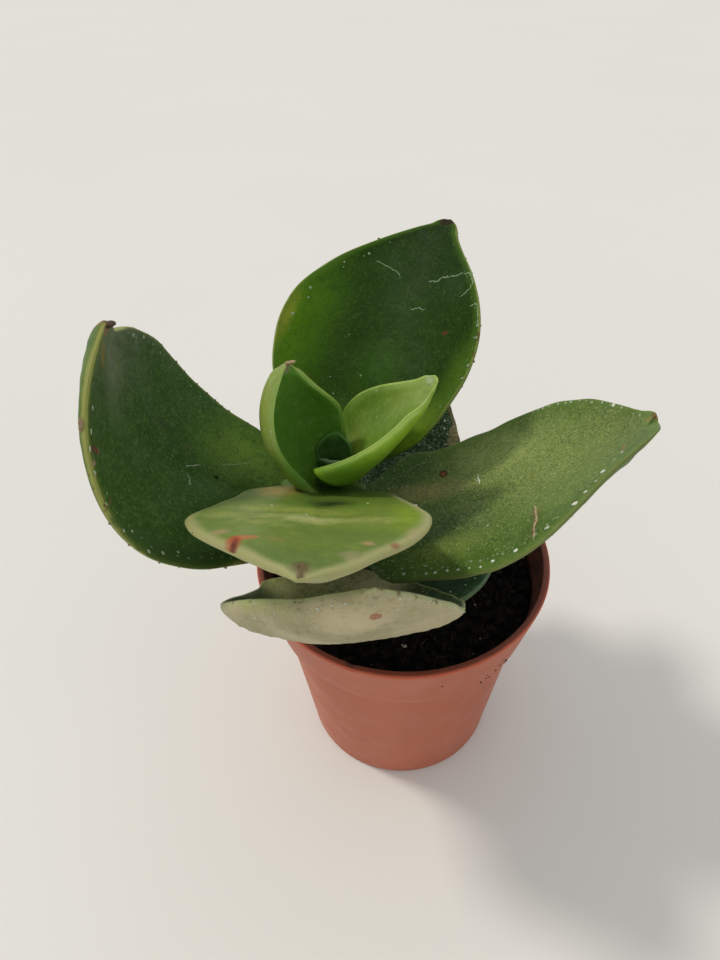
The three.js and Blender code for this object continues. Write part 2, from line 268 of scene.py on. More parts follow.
pot = {
    "height": 48.8,
    "rimRadius": 27.5,
    "baseRadius": 19.6,
    "bodyTop": 23.7,
    "wall": 1.0,
    "floor": 1.5,
    "collar": 12.8,
    "step": 1.25,
    "lip": 1.3,
    "foot": 3.2,
    "sides": 216,
    "outline": {"bendSteps": 5, "longest": 1.6},
    "flex": {"depth": 0.1, "from": 4, "size": 30, "seed": 3},
    "nick": {"angle": -112, "width": 1.6, "depth": 0.35, "reach": 0.8},
    "holes": {"count": 5, "radius": 2.4, "circle": 12.5, "sides": 32, "below": 3, "above": 5},
    "color": "#b5654a",
    "worn": "#c98a70",
    "shade": "#95492f",
    "dirtAndShade": "#33231b",
    "lipShade": "#7c3c28",
    "lipGlow": "#b9522f",
    "gloss": 0.5,
    # Height and radius in the middle of the collar's wall, low and at the lip: dust and painted shade lie
    # inside of it
    "midWall": ((37, 24.4), (48.8, 26.9)),
    "dustAndShadeStart": (37.8, 38.4),
    "smudgeShare": 0.35,
    "smudges": [
        {"angle": -118.8, "height": 40.6, "size": 1.5},
        {"angle": -125, "height": 14.5, "size": 2.2},
        {"angle": -113, "height": 14.2, "size": 1.8},
    ],
}


# Inner radius of the pot at a height
def potInside(height):
    collarFoot = pot["height"] - pot["collar"]
    stepEnd = collarFoot + pot["step"]
    inner = np.interp(height, (0, collarFoot), (pot["baseRadius"], pot["bodyTop"])) - pot["wall"]
    if height <= collarFoot:
        return inner
    foot = pot["bodyTop"] - pot["wall"]
    heights = (collarFoot, stepEnd, pot["height"])
    return np.interp(height, heights, (foot, foot + pot["step"], pot["rimRadius"] - pot["lip"]))


# Outer radius of the pot at a height
def potOutside(height):
    collarFoot = pot["height"] - pot["collar"]
    if height < collarFoot:
        return np.interp(height, (0, collarFoot), (pot["baseRadius"], pot["bodyTop"]))
    return np.interp(height, (collarFoot, pot["height"]), (pot["bodyTop"] + pot["step"], pot["rimRadius"]))


# An outline with its corners rounded: each corner is (radius, height, bend)
def roundedOutline(corners, bendSteps, longest):
    spots = [np.array(c[:2], float) for c in corners]
    outline = []
    for i, here in enumerate(spots):
        bend = corners[i][2]
        if bend == 0:
            outline.append(here)
            continue
        back = (spots[i - 1] - here) / np.linalg.norm(spots[i - 1] - here)
        ahead = (spots[i + 1] - here) / np.linalg.norm(spots[i + 1] - here)
        half = math.acos(np.clip(back @ ahead, -1, 1)) / 2
        start = here + back * bend / math.tan(half)
        end = here + ahead * bend / math.tan(half)
        centre = here + (back + ahead) / np.linalg.norm(back + ahead) * bend / math.sin(half)
        for share in np.linspace(0, 1, bendSteps):
            arm = (1 - share) * (start - centre) + share * (end - centre)
            outline.append(centre + arm / np.linalg.norm(arm) * bend)
    # Long straight parts are cut into shorter ones
    filled = [outline[0]]
    for spot in outline[1:]:
        pieces = max(int(math.ceil(np.linalg.norm(spot - filled[-1]) / longest)), 1)
        last = filled[-1]
        filled += [last + (spot - last) * k / pieces for k in range(1, pieces + 1)]
    return np.array(filled)


def potPlastic():
    material, tree, shader = blankMaterial(
        "terracottaPlastic",
        Subsurface_Weight=0.35,
        Subsurface_Radius=(1.5, 0.5, 0.3),
        Subsurface_Scale=mm,
        Specular_IOR_Level=0.35,
    )
    place = solidPlace(tree)
    height = heightOf(tree, place)
    radius = vectorMaths(tree, "LENGTH", stretched(tree, place, (1, 1, 0)))
    radius = maths(tree, "DIVIDE", radius, mm)
    flow = grain(tree, stretched(tree, place, (1, 1, 0.25)), 14, detail=4, warp=0.4)
    cloud = grain(tree, place, 6, detail=5)
    fine = grain(tree, place, 0.5, detail=3)
    wobble = grain(tree, place, 2.2, detail=5, rough=0.65)
    color = blend(tree, spread(tree, flow, 0.35, 0.7, 0, 0.25), pot["color"], pot["shade"])
    color = blend(tree, spread(tree, cloud, 0.52, 0.8, 0, 0.18), color, pot["worn"])
    # Fine pale scuffs run round the wall
    scuffs = grain(tree, stretched(tree, place, (1, 1, 6)), 2.5, detail=6, rough=0.7)
    scuffShare = spread(tree, scuffs, 0.6, 0.74, 0, 0.28)
    color = blend(tree, scuffShare, color, pot["worn"])
    # Peat dust and painted shade darken the inside of the wall and the flat of the lip
    (lowHeight, lowRadius), (topHeight, topRadius) = pot["midWall"]
    wallHere = spread(tree, height, lowHeight, topHeight, lowRadius, topRadius)
    inside = spread(tree, maths(tree, "SUBTRACT", wallHere, radius), -0.25, 0.15)
    inside = times(tree, inside, spread(tree, height, *pot["dustAndShadeStart"]))
    # Painted shade with some dust: the inner wall is darkened towards the dirtAndShade colour
    dust = times(tree, spread(tree, wobble, 0.3, 0.7, 0.7, 0.98), inside)
    color = blend(tree, dust, color, pot["dirtAndShade"])
    # Painted glow: the thin outer edge of the lip is painted more orange, as if light came through it
    top, rim = pot["height"], pot["rimRadius"]
    edge = spread(tree, height, top - 0.9, top - 0.45, 0, 0.65)
    outside = spread(tree, inside, 0, 1, 1, 0)
    color = blend(tree, times(tree, edge, outside), color, pot["lipGlow"])
    # Painted shade with some peat dust: the flat top of the lip, under the leaves, is darker
    lipFlat = spread(tree, height, top - 0.35, top - 0.08)
    lipFlat = times(tree, lipFlat, spread(tree, radius, rim - 0.2, rim - 0.55))
    lipFlat = times(tree, lipFlat, spread(tree, wobble, 0.3, 0.6, 0.6, 1))
    color = blend(tree, lipFlat, color, pot["lipShade"])
    # Stains grow towards the top
    stain = times(tree, spread(tree, wobble, 0.62, 0.76, 0, 0.15), spread(tree, height, 2, 40, 0.2, 1))
    color = blend(tree, stain, color, pot["shade"])
    for smudge in pot["smudges"]:
        turn = math.radians(smudge["angle"])
        reach = potOutside(smudge["height"])
        centre = [c * mm for c in (reach * math.cos(turn), reach * math.sin(turn), smudge["height"])]
        share = markShare(tree, place, centre, (smudge["size"] * mm,) * 3, 0.9, wobble, 1.2)
        color = blend(tree, times(tree, share, pot["smudgeShare"]), color, pot["shade"])
    rough = spread(tree, cloud, 0.3, 0.7, pot["gloss"] - 0.06, pot["gloss"] + 0.1)
    relief = plus(tree, fine, times(tree, cloud, 2))
    dress(tree, shader, color, plus(tree, rough, scuffShare), bump(tree, relief, 0.03, 0.6))
    return material


def makePot():
    top = pot["height"]
    collarFoot = top - pot["collar"]
    stepEnd = collarFoot + pot["step"]
    outline = roundedOutline([
        (0, 0, 0),
        (pot["baseRadius"] - pot["foot"], 0, 0),
        (pot["baseRadius"] - 0.05, 0, 0.8),
        (pot["bodyTop"] - 0.1, collarFoot - 0.5, 1.4),
        (pot["bodyTop"] + pot["step"], collarFoot + 0.9, 1.0),
        (pot["rimRadius"] - 0.02, top, 0.42),
        (pot["rimRadius"] - pot["lip"], top, 0.4),
        (potInside(stepEnd), stepEnd, 0.6),
        (potInside(collarFoot), collarFoot, 0.6),
        (potInside(pot["floor"]), pot["floor"], 1.2),
        (0, pot["floor"], 0),
    ], **pot["outline"])
    sides = pot["sides"]
    turns = turnsRound(sides)
    flex, nick = pot["flex"], pot["nick"]
    rings = []
    for radius, height in outline[1:-1]:
        ring = unitRing(sides) * radius + (0, 0, height)
        swell = flex["depth"] * smoothStep(height, flex["from"], top)
        swell = swell * lumps(ring * (1, 1, 0.3), flex["size"], flex["seed"])
        shrink = (np.maximum(radius - 0.05 - np.abs(swell), 0) / radius)[:, None]
        ring[:, :2] *= shrink if height > 1 else 1
        # A small nick in the lip
        gap = (turns - math.radians(nick["angle"]) + math.pi) % (2 * math.pi) - math.pi
        bite = np.exp(-(gap * radius / nick["width"]) ** 2 * 2) * nick["depth"]
        ring[:, 2] -= bite * (height > top - nick["reach"])
        rings.append(ring)
    points = np.concatenate([*rings, [[0, 0, 0], [0, 0, pot["floor"]]]])
    faces = closedFaces(len(rings), sides)
    piece = makePiece("potShell", points, faces, [potPlastic()], node="pot")
    holes = pot["holes"]
    for turn in turnsRound(holes["count"]):
        ring = unitRing(holes["sides"]) * holes["radius"]
        ring += (holes["circle"] * math.cos(turn), holes["circle"] * math.sin(turn), 0)
        drill = np.concatenate([ring - (0, 0, holes["below"]), ring + (0, 0, holes["above"])])
        carve(piece, drill, tubeFaces(2, holes["sides"]))


makePot()
print("pot done")


# Stem: leans to the left and front as it rises, ringed where old leaves have dropped

stem = {
    "foot": 30,
    "top": 74.5,
    "leanHeight": {"from": 40, "over": 36},
    "leanX": (-7.5, -9.5, 5),
    "leanY": (-1.5, -5.5, 2.5),
    "radii": ((30, 3.4), (44, 4.4), (60, 3.9), (70, 2.8), (74.5, 1.5)),
    "sides": 72,
    "rings": 150,
    "scars": (46.2, 48.6, 53.4, 58.8, 61.2, 67.4),
    "scarSize": 0.45,
    "scarDepth": 0.22,
    "bark": {"depth": 0.12, "inset": 0.15, "size": 2.2, "seed": 11},
    "crown": {"rise": 0.45, "tip": 0.48, "shares": (0.85, 0.55, 0.25)},
    "green": "#5f6b35",
    "brown": "#6f5637",
    "cork": "#a08c66",
}


def stemCentre(height):
    share = (np.asarray(height, float) - stem["leanHeight"]["from"]) / stem["leanHeight"]["over"]
    spots = [sum(term * share ** k for k, term in enumerate(stem[key])) for key in ("leanX", "leanY")]
    return np.stack([*spots, np.asarray(height, float)], -1)


def stemRadius(height):
    return np.interp(height, *zip(*stem["radii"]))


def stemSkin():
    material, tree, shader = blankMaterial("stemSkin", Subsurface_Weight=0.1, Subsurface_Scale=mm)
    place = solidPlace(tree)
    patch = grain(tree, place, 4, detail=5, rough=0.6)
    streak = grain(tree, stretched(tree, place, (1, 1, 0.15)), 1.0, detail=4)
    # The older foot of the stem is brown
    older = plus(tree, spread(tree, heightOf(tree, place), 66, 44), swing(tree, patch, 1))
    color = blend(tree, spread(tree, older, 0.2, 0.9), stem["green"], stem["brown"])
    color = blend(tree, spread(tree, streak, 0.5, 0.72, 0, 0.6), color, stem["cork"])
    rough = spread(tree, patch, 0.3, 0.7, 0.55, 0.8)
    dress(tree, shader, color, rough, bump(tree, plus(tree, streak, patch), 0.15, 0.8))
    return material


def stemRings(grow=0.0, rough=True):
    around = unitRing(stem["sides"])
    bark = stem["bark"]
    rings = []
    for height in np.linspace(stem["foot"], stem["top"], stem["rings"]):
        radius = stemRadius(height) + grow
        if rough:
            scar = sum(math.exp(-((height - h) / stem["scarSize"]) ** 2) for h in stem["scars"])
            grown = lumps(around * 3 + (0, 0, height * 0.4), bark["size"], bark["seed"]) * bark["depth"]
            radius = radius - bark["inset"] - scar * stem["scarDepth"] + grown
        rings.append(around * np.reshape(radius, (-1, 1)) + stemCentre(height))
    return rings


def makeStem():
    rings = stemRings()
    edge = rings[-1]
    middle = stemCentre(stem["top"])
    crown = stem["crown"]
    for share in crown["shares"]:
        rise = (0, 0, crown["rise"] * math.sqrt(1 - share ** 2))
        rings.append((edge - middle) * share + middle + rise)
    points = np.concatenate([*rings, [stemCentre(stem["foot"]), middle + (0, 0, crown["tip"])]])
    faces = closedFaces(len(rings), stem["sides"])
    makePiece("stemStalk", points, faces, [stemSkin()], node="stem")


makeStem()
print("stem done")


# Soil: dark peat with crumbs, fibres and a few pale grains

soil = {
    "level": 43.2,
    "dip": 0.9,
    "lump": 0.3,
    "rubble": ((0.3, 3.1, 21), (0.18, 1.5, 22), (0.1, 0.7, 23)),  # height, size and seed of lumps
    "rings": 74,
    "sides": 320,
    "floorGap": 0.3,
    "wallGap": 0.3,
    "topGap": 0.24,
    "stemGap": 0.12,
    "black": "#0e0d0b",
    "brown": "#29231d",
    "fibre": "#453a2e",
    "pale": "#9d9a8d",
    "seed": 5,
    "crumbs": {"count": 2600, "size": (0.16, 0.95), "skew": 2.6, "fineBelow": 0.5, "tone": (0, 0.35)},
    "grains": {"count": 30, "size": (0.1, 0.22), "lift": 0.35, "tone": (0.7, 1)},
    "fibres": {
        "count": 70,
        "length": (1.5, 6.5),
        "thick": (0.05, 0.14),
        "bend": (-1.2, 1.2),
        "steps": 9,
        "sides": 5,
        "tone": (0.3, 0.62),
    },
    # Pale grains where the photo shows them: x, y, size
    "pearls": [
        (-1.7, -15.5, 0.3),
        (-0.6, -17.6, 0.35),
        (-1.0, -17.2, 0.2),
        (18.8, -1.8, 0.22),
        (12.8, -16.5, 0.2),
    ],
    # Specks on the collar: angle, height, size
    "stray": [
        (-49.6, 41.3, 0.34),
        (-50.6, 41.1, 0.22),
        (-52.4, 40.9, 0.2),
        (-54.2, 40.2, 0.16),
        (-57.6, 39.3, 0.26),
        (-58.4, 39.1, 0.16),
        (-59.8, 37.8, 0.22),
        (-79.1, 43.8, 0.17),
    ],
}


def soilHeight(x, y):
    waves = np.sin(0.9 * x + 1.3) * np.cos(0.8 * y - 0.4) + 0.7 * np.sin(1.7 * x - 1.1 * y + 0.5)
    waves = waves + 0.5 * np.cos(0.6 * x + 1.9 * y)
    share = np.hypot(x, y) / pot["rimRadius"]
    spots = np.stack([x, y], -1)
    rubble = sum(height * lumps(spots, size, seed) for height, size, seed in soil["rubble"])
    return soil["level"] + soil["lump"] * waves - soil["dip"] * share ** 2 + rubble


def soilAt(x, y):
    return float(soilHeight(np.array(x), np.array(y)))


def peat():
    material, tree, shader = blankMaterial("darkPeat", Specular_IOR_Level=0.08)
    place = solidPlace(tree)
    clods = grain(tree, place, 1.6, detail=6, rough=0.65)
    fine = grain(tree, place, 0.35, detail=4, rough=0.7)
    tone = reading(tree, "peatTone")
    color = blend(tree, spread(tree, clods, 0.42, 0.68), soil["black"], soil["brown"])
    color = blend(tree, spread(tree, fine, 0.66, 0.8, 0, 0.35), color, soil["fibre"])
    color = blend(tree, spread(tree, tone, 0.25, 0.6), color, soil["fibre"])
    color = blend(tree, spread(tree, tone, 0.75, 0.95), color, soil["pale"])
    rough = spread(tree, clods, 0.3, 0.7, 1.0, 0.88)
    dress(tree, shader, color, rough, bump(tree, plus(tree, clods, fine), 0.3))
    return material


def makeSoil(material):
    bottom = pot["floor"] + soil["floorGap"]
    collarFoot = pot["height"] - pot["collar"]
    edge = soil["level"] - soil["dip"] - 0.4
    around = unitRing(soil["sides"])
    rings = []
    for height in (bottom, pot["floor"] + 1.6, collarFoot, collarFoot + pot["step"]):
        radius = potInside(height) - soil["wallGap"] - (1.2 if height == bottom else 0)
        rings.append(around * radius + (0, 0, height))
    widest = potInside(edge) - soil["topGap"]
    for k in range(soil["rings"], 0, -1):
        ring = around * widest * k / soil["rings"]
        ring[:, 2] = soilHeight(ring[:, 0], ring[:, 1])
        if k == soil["rings"]:
            ring[:, 2] = np.minimum(ring[:, 2], edge + 0.5)
        rings.append(ring)
    points = np.concatenate([*rings, [[0, 0, bottom], [0, 0, soilAt(0.0, 0.0)]]])
    faces = closedFaces(len(rings), soil["sides"])
    piece = makePiece("peatBed", points, faces, [material], node="soil")
    # A clear hole for the stem
    stalk = stemRings(grow=soil["stemGap"], rough=False)
    hole = np.concatenate([*stalk, [stemCentre(stem["foot"] - 0.2), stemCentre(stem["top"] + 1)]])
    carve(piece, hole, closedFaces(len(stalk), stem["sides"]))


# A small irregular clod: a ball with its points pushed in and out
def clod(draw, ball, centre, size, flat=0.75):
    spots, faces = ball
    stretch = draw.uniform(0.7, 1.3, 3) * (1, 1, flat)
    turn = Matrix.Rotation(draw.uniform(0, 6.28), 3, Vector(draw.normal(size=3)))
    rough = 1 + 0.28 * lumps(spots, 1.1, int(draw.integers(1, 10 ** 6)))
    shaped = (spots * rough[:, None] * stretch * size) @ np.array(turn).T
    return shaped + centre, faces


def ballMesh(subdivisions):
    work = bmesh.new()
    bmesh.ops.create_icosphere(work, subdivisions=subdivisions, radius=1)
    spots = np.array([v.co[:] for v in work.verts])
    faces = [tuple(v.index for v in f.verts) for f in work.faces]
    work.free()
    return spots, faces


# Many small bodies gathered into one mesh
class Heap:
    def __init__(self):
        self.points = []
        self.faces = []
        self.tones = []
        self.count = 0

    def add(self, spots, faces, tone):
        self.faces += [tuple(i + self.count for i in face) for face in faces]
        self.points.append(spots)
        self.tones += [tone] * len(spots)
        self.count += len(spots)

    def make(self, name, material):
        readings = {"peatTone": np.array(self.tones)}
        makePiece(name, np.concatenate(self.points), self.faces, [material], readings=readings)


# A spot anywhere in a disc
def randomSpot(draw, widest):
    radius, turn = widest * math.sqrt(draw.uniform()), draw.uniform(0, 2 * math.pi)
    return radius * math.cos(turn), radius * math.sin(turn)


def makeCrumbs(material):
    draw = np.random.default_rng(soil["seed"])
    heap = Heap()
    small, large = ballMesh(1), ballMesh(2)
    widest = potInside(soil["level"]) - 1.1
    stalk, stalkRadius = stemCentre(soil["level"]), stemRadius(soil["level"])
    crumbs, grains = soil["crumbs"], soil["grains"]
    low, high = crumbs["size"]
    placed = 0
    while placed < crumbs["count"]:
        x, y = randomSpot(draw, widest)
        size = low + (high - low) * draw.uniform() ** crumbs["skew"]
        if math.hypot(x - stalk[0], y - stalk[1]) < stalkRadius + size + 0.3:
            continue
        if math.hypot(x, y) + size > widest + 0.9:
            continue
        tone = draw.uniform(*crumbs["tone"])
        ball = large if size > crumbs["fineBelow"] else small
        heap.add(*clod(draw, ball, (x, y, soilAt(x, y) + 0.1 * size), size), tone)
        placed += 1
    for _ in range(grains["count"]):
        x, y = randomSpot(draw, widest)
        grown = clod(draw, small, (x, y, soilAt(x, y) + grains["lift"]), draw.uniform(*grains["size"]))
        heap.add(*grown, draw.uniform(*grains["tone"]))
    for x, y, size in soil["pearls"]:
        heap.add(*clod(draw, small, (x, y, soilAt(x, y) + 0.5), size), 1.0)
    # Specks of peat that stick to the collar
    for angle, height, size in soil["stray"]:
        turn = math.radians(angle)
        reach = potOutside(height) + 0.02
        for _ in range(3):
            near = draw.normal(0, size * 0.6, 3)
            x = reach * math.cos(turn) + near[0]
            y = reach * math.sin(turn) - abs(near[1]) * 0.3
            speck = clod(draw, small, (x, y, height + near[2]), size * draw.uniform(0.25, 0.6), flat=1)
            heap.add(*speck, 0.3)
    heap.make("peatCrumbs", material)


def makeFibres(material):
    draw = np.random.default_rng(soil["seed"] + 1)
    heap = Heap()
    widest = potInside(soil["level"]) - 3.5
    stalk, stalkRadius = stemCentre(soil["level"])[:2], stemRadius(soil["level"])
    fibres = soil["fibres"]
    steps = fibres["steps"]
    shares = np.linspace(0, 1, steps)
    ring = turnsRound(fibres["sides"])[:, None]
    for _ in range(fibres["count"]):
        start = np.array(randomSpot(draw, widest))
        heading, bend = draw.uniform(0, 2 * math.pi), draw.uniform(*fibres["bend"])
        length, thick = draw.uniform(*fibres["length"]), draw.uniform(*fibres["thick"])
        headings = heading + bend * shares
        way = np.cumsum(np.stack([np.cos(headings), np.sin(headings)], 1), 0) * length / steps
        spots = start + way
        reach = np.linalg.norm(spots, axis=1).max()
        fromStem = np.linalg.norm(spots - stalk, axis=1).min()
        if reach > widest + 2 or fromStem < stalkRadius + 0.5:
            continue
        lift = 0.25 + 0.5 * draw.uniform() * np.sin(math.pi * shares)
        heights = soilHeight(spots[:, 0], spots[:, 1]) + lift
        rings = []
        for spot, height, angle, share in zip(spots, heights, headings, shares):
            across = np.array([-math.sin(angle), math.cos(angle), 0])
            radius = thick * (1 - 0.7 * abs(2 * share - 1) ** 2)
            circle = np.cos(ring) * across + np.sin(ring) * np.array([0, 0, 1])
            rings.append(circle * radius + (*spot, height))
        faces = tubeFaces(steps, fibres["sides"])
        heap.add(np.concatenate(rings), faces, draw.uniform(*fibres["tone"]))
    heap.make("peatFibres", material)


darkPeat = peat()
makeSoil(darkPeat)
makeCrumbs(darkPeat)
makeFibres(darkPeat)
print("soil done")


# Leaves: each blade grows along a midrib from its seat on the stem and curls up to both sides of it
# t runs from 0 at the foot to 1 at the tip, v from -1 to 1 across the blade

blade = {
    "midribSteps": 200,
    "upperShare": 0.35,  # of the thickness, over the middle surface
    "neckShare": 0.6,
    "neckEnd": 0.18,
    "hookFrom": 0.6,
    "bitesFrom": 0.94,
    "droopsFrom": 0.4,
    "roundness": 2.6,
    "thickest": 0.3,  # of the half-width
    "marginBulge": 0.42,
    "marginPoints": 5,
    "edge": 0.45,
    "edgeTaper": {"over": 0.06, "least": 0.55},
    "bevel": 2.2,
    "lean": (1, 1),
    "furrowWidth": 1.3,
    "puckerSize": 0.28,  # of the size of the swells
    "lastStation": 0.994,
    "crowding": 1.35,  # stations crowd towards the tip
    "heel": {"rings": 4, "inset": 0.8},
    "tip": {"turns": (25, 50, 72), "reach": 1.05},
    "stemGap": 0.06,
    "leafGap": 0.1,
    "search": 4,
    "beadRough": 0.16,
    "crust": {"step": 0.25, "sides": 6, "flat": 0.4},
}


def along(terms, t):
    return sum(term * t ** k for k, term in enumerate(terms))


def bladeWay(leaf, t):
    rise, heading = np.radians(along(leaf["rise"], t)), np.radians(along(leaf["heading"], t))
    return np.stack([np.cos(rise) * np.cos(heading), np.cos(rise) * np.sin(heading), np.sin(rise)], -1)


# Midrib point, sideways and upward unit vectors at stations t
def bladeFrames(leaf, t):
    steps = (np.arange(blade["midribSteps"]) + 0.5) / blade["midribSteps"]
    start = math.radians(leaf["heading"][0])
    outward = np.array([math.cos(start), math.sin(start), 0])
    sideways = np.array([-math.sin(start), math.cos(start), 0])
    seat = leaf["seat"]
    seatPoint = stemCentre(seat["height"]) + seat["reach"] * outward + seat["aside"] * sideways
    path = np.cumsum(bladeWay(leaf, steps), 0) * leaf["size"]["length"] / blade["midribSteps"]
    path = np.concatenate([[seatPoint], seatPoint + path])
    marks = np.linspace(0, 1, blade["midribSteps"] + 1)
    point = np.stack([np.interp(t, marks, path[:, k]) for k in range(3)], -1)
    heading, roll = np.radians(along(leaf["heading"], t)), np.radians(along(leaf["roll"], t))[..., None]
    level = np.stack([-np.sin(heading), np.cos(heading), np.zeros_like(heading)], -1)
    normal = np.cross(bladeWay(leaf, t), level)
    side = level * np.cos(roll) + normal * np.sin(roll)
    up = normal * np.cos(roll) - level * np.sin(roll)
    bent = np.maximum((t - blade["hookFrom"]) / (1 - blade["hookFrom"]), 0) ** 3
    return point + side * (leaf["size"]["hook"] * bent)[..., None], side, up


def halfWidth(leaf, t):
    outline = leaf["outline"]
    foot = outline["base"] * (1 - t) ** 2 * (1 + 2 * t)
    belly = np.sin(math.pi * np.clip(t, 0, 1) ** outline["widest"]).clip(0) ** outline["fullness"]
    neck = blade["neckShare"] + (1 - blade["neckShare"]) * smoothStep(t, 0, blade["neckEnd"])
    return leaf["size"]["width"] / 2 * (foot + (1 - foot) * belly) * neck


# Small bays and lobes of the margin, as a change of the half-width in millimetres
def marginWaves(leaf, t, sign):
    length = leaf["size"]["length"]
    way = np.stack([t * length, sign * 40 + 0 * t], -1)
    change = leaf["wave"]["margin"] * lumps(way, leaf["wave"]["length"], leaf["wave"]["seed"])
    change = change * smoothStep(t, 0.1, 0.3)
    for side, spot, width, depth in leaf.get("lobes", []):
        if side == sign:
            change = change + depth * np.exp(-((t * length - spot) / width) ** 2)
    return change


# Middle surface of the blade at t along (n by 1) and v across, with its own side and up vectors
def bladeSheet(leaf, t, v):
    t, v = np.broadcast_arrays(t, v)
    point, side, up = bladeFrames(leaf, t)
    sign = np.where(v < 0, -1.0, 1.0)
    gain = np.where(v < 0, along(leaf["cup"]["minus"], t), along(leaf["cup"]["plus"], t))
    curl = np.radians(gain)
    if "opens" in leaf:
        sideSign, begins, ends = leaf["opens"]
        curl = np.where(v * sideSign > 0, curl * (1 - smoothStep(t, begins, ends)), curl)
    curl = np.where(np.abs(curl) < 1e-3, 1e-3, curl)
    waves = np.where(v < 0, marginWaves(leaf, t, -1), marginWaves(leaf, t, 1))
    width = halfWidth(leaf, t) * (1 + sign * leaf["size"]["skew"]) + waves
    fullEdge, thinEdge = bladeEdges(leaf, t)
    width = np.maximum(width + blade["marginBulge"] * (fullEdge - thinEdge), 0.02)
    angle = curl * np.abs(v)
    for across, size, depth in leaf.get("bites", []):
        bite = depth * np.exp(-((v * width - across) / size) ** 2) * smoothStep(t, blade["bitesFrom"], 1)
        point = point - bladeWay(leaf, t) * bite[..., None]
    for sideSign, at, size, depth in leaf.get("droops", []):
        sink = np.exp(-((t * leaf["size"]["length"] - at) / size) ** 2)
        sink = sink * smoothStep(v * sideSign, blade["droopsFrom"], 1)
        point = point - np.array([0, 0, depth]) * sink[..., None]
    point = point + side * (sign * width * np.sin(angle) / curl)[..., None]
    point = point + up * (width * (1 - np.cos(angle)) / curl)[..., None]
    lean = (sign * np.sin(angle))[..., None]
    tilt = np.cos(angle)[..., None]
    return point, side * tilt + up * lean, up * tilt - side * lean, width


# Thickness of the margin as a plain slab, and once its corner is rounded away
def bladeEdges(leaf, t):
    taper = np.clip((1 - t) / blade["edgeTaper"]["over"], blade["edgeTaper"]["least"], 1)
    full = leaf["thickness"]["margin"] * taper
    return full, np.minimum(leaf.get("edge", blade["edge"]) * taper, full)


# Height of the upper and of the lower face over the middle surface, both without relief
def bladeFaces(leaf, t, v, width):
    thickness = leaf["thickness"]
    full, thin = bladeEdges(leaf, t)
    middle = thickness["base"] + (thickness["tip"] - thickness["base"]) * t
    middle = np.minimum(middle, blade["thickest"] * halfWidth(leaf, t) + full)
    swell = np.sqrt(np.maximum(1 - np.abs(v) ** blade["roundness"], 0))
    thick = full + np.maximum(middle - full, 0) * swell
    # Within the bevel a face bends to the margin like a quarter round; lean is the upper face's share
    near = np.clip(1 - width * (1 - np.abs(v)) / leaf.get("bevel", blade["bevel"]), 0, 1)
    bend = (1 - np.sqrt(1 - near ** 2)) * (full - thin)
    lean = leaf.get("lean", blade["lean"])
    lean = np.where(v < 0, lean[1], lean[0])
    share = blade["upperShare"]
    return share * thick - lean * bend, (share - 1) * thick + (1 - lean) * bend


# Low swells and the midrib's furrow, along the blade's up direction
def bladeRelief(leaf, t, v, width, face):
    place = np.stack(np.broadcast_arrays(t * leaf["size"]["length"], v * width), -1)
    wave = leaf["wave"]
    fineSize = wave["size"] * blade["puckerSize"]
    swell = wave["swell"] * lumps(place + (0, 100 * face), wave["size"], wave["seed"] + 1)
    pucker = wave["pucker"] * lumps(place + (50, 70 * face), fineSize, wave["seed"] + 2)
    fade = smoothStep(t, 0.05, 0.25) * smoothStep(1 - np.abs(v), 0, 0.25)
    relief = (swell + pucker) * fade
    if face:
        furrow = leaf["furrow"] * np.exp(-(v * width / blade["furrowWidth"]) ** 2)
        relief = relief - furrow * smoothStep(t, 0, 0.1) * (1 - t)
    return relief


# Rings of the closed blade, with where each point lies on the leaf
def bladeRings(leaf, stations, across):
    t = stations[:, None]
    v = -np.cos(np.linspace(0, math.pi, across))[None, :]
    middle, side, up, width = bladeSheet(leaf, t, v)
    high, low = bladeFaces(leaf, t, v, width)
    upper = middle + up * (high + bladeRelief(leaf, t, v, width, 1))[..., None]
    lower = middle + up * (low - bladeRelief(leaf, t, v, width, 0))[..., None]
    length = leaf["size"]["length"]
    spot = np.broadcast_to(t * length, width.shape)
    rim = width * (1 - np.abs(v))
    parts = []
    labels = []
    arc = np.linspace(math.pi / 2, -math.pi / 2, blade["marginPoints"] + 2)[1:-1]

    def margin(column, turn):
        sign = 1 if column else -1
        top, bottom = upper[:, column], lower[:, column]
        half = np.linalg.norm(top - bottom, axis=1)[:, None] / 2
        rows = []
        for a in turn:
            out = blade["marginBulge"] * 2 * half * math.cos(a)
            lift = (top - bottom) / 2 * math.sin(a)
            rows.append((top + bottom) / 2 + side[:, column] * sign * out + lift)
        parts.append(np.stack(rows, 1))
        away = sign * (width[:, column][:, None] + blade["marginBulge"] * half * np.cos(turn)[None, :])
        face = np.broadcast_to(0.5 + 0.5 * np.sin(turn)[None, :], away.shape)
        labels.append(np.stack([np.broadcast_to(t * length, away.shape), away, face, 0 * away], -1))

    parts.append(upper)
    labels.append(np.stack([spot, v * width, np.ones_like(width), rim], -1))
    margin(-1, arc)
    parts.append(lower[:, ::-1])
    labels.append(np.stack([spot, v * width, np.zeros_like(width), rim], -1)[:, ::-1])
    margin(0, arc[::-1])
    return np.concatenate(parts, 1), np.concatenate(labels, 1)


# Pushes points out of the stem, sideways, so that the blade hugs it
def clearOfStem(points):
    heights = np.clip(points[..., 2], stem["foot"], stem["top"])
    centre = stemCentre(heights)
    away = points[..., :2] - centre[..., :2]
    distance = np.maximum(np.linalg.norm(away, axis=-1), 1e-6)
    radius = stemRadius(heights) + blade["stemGap"]
    low = points[..., 2] < stem["top"] + 0.6
    scale = np.where(low, np.maximum(radius / distance, 1), 1)
    moved = points.copy()
    moved[..., :2] = centre[..., :2] + away * scale[..., None]
    return moved


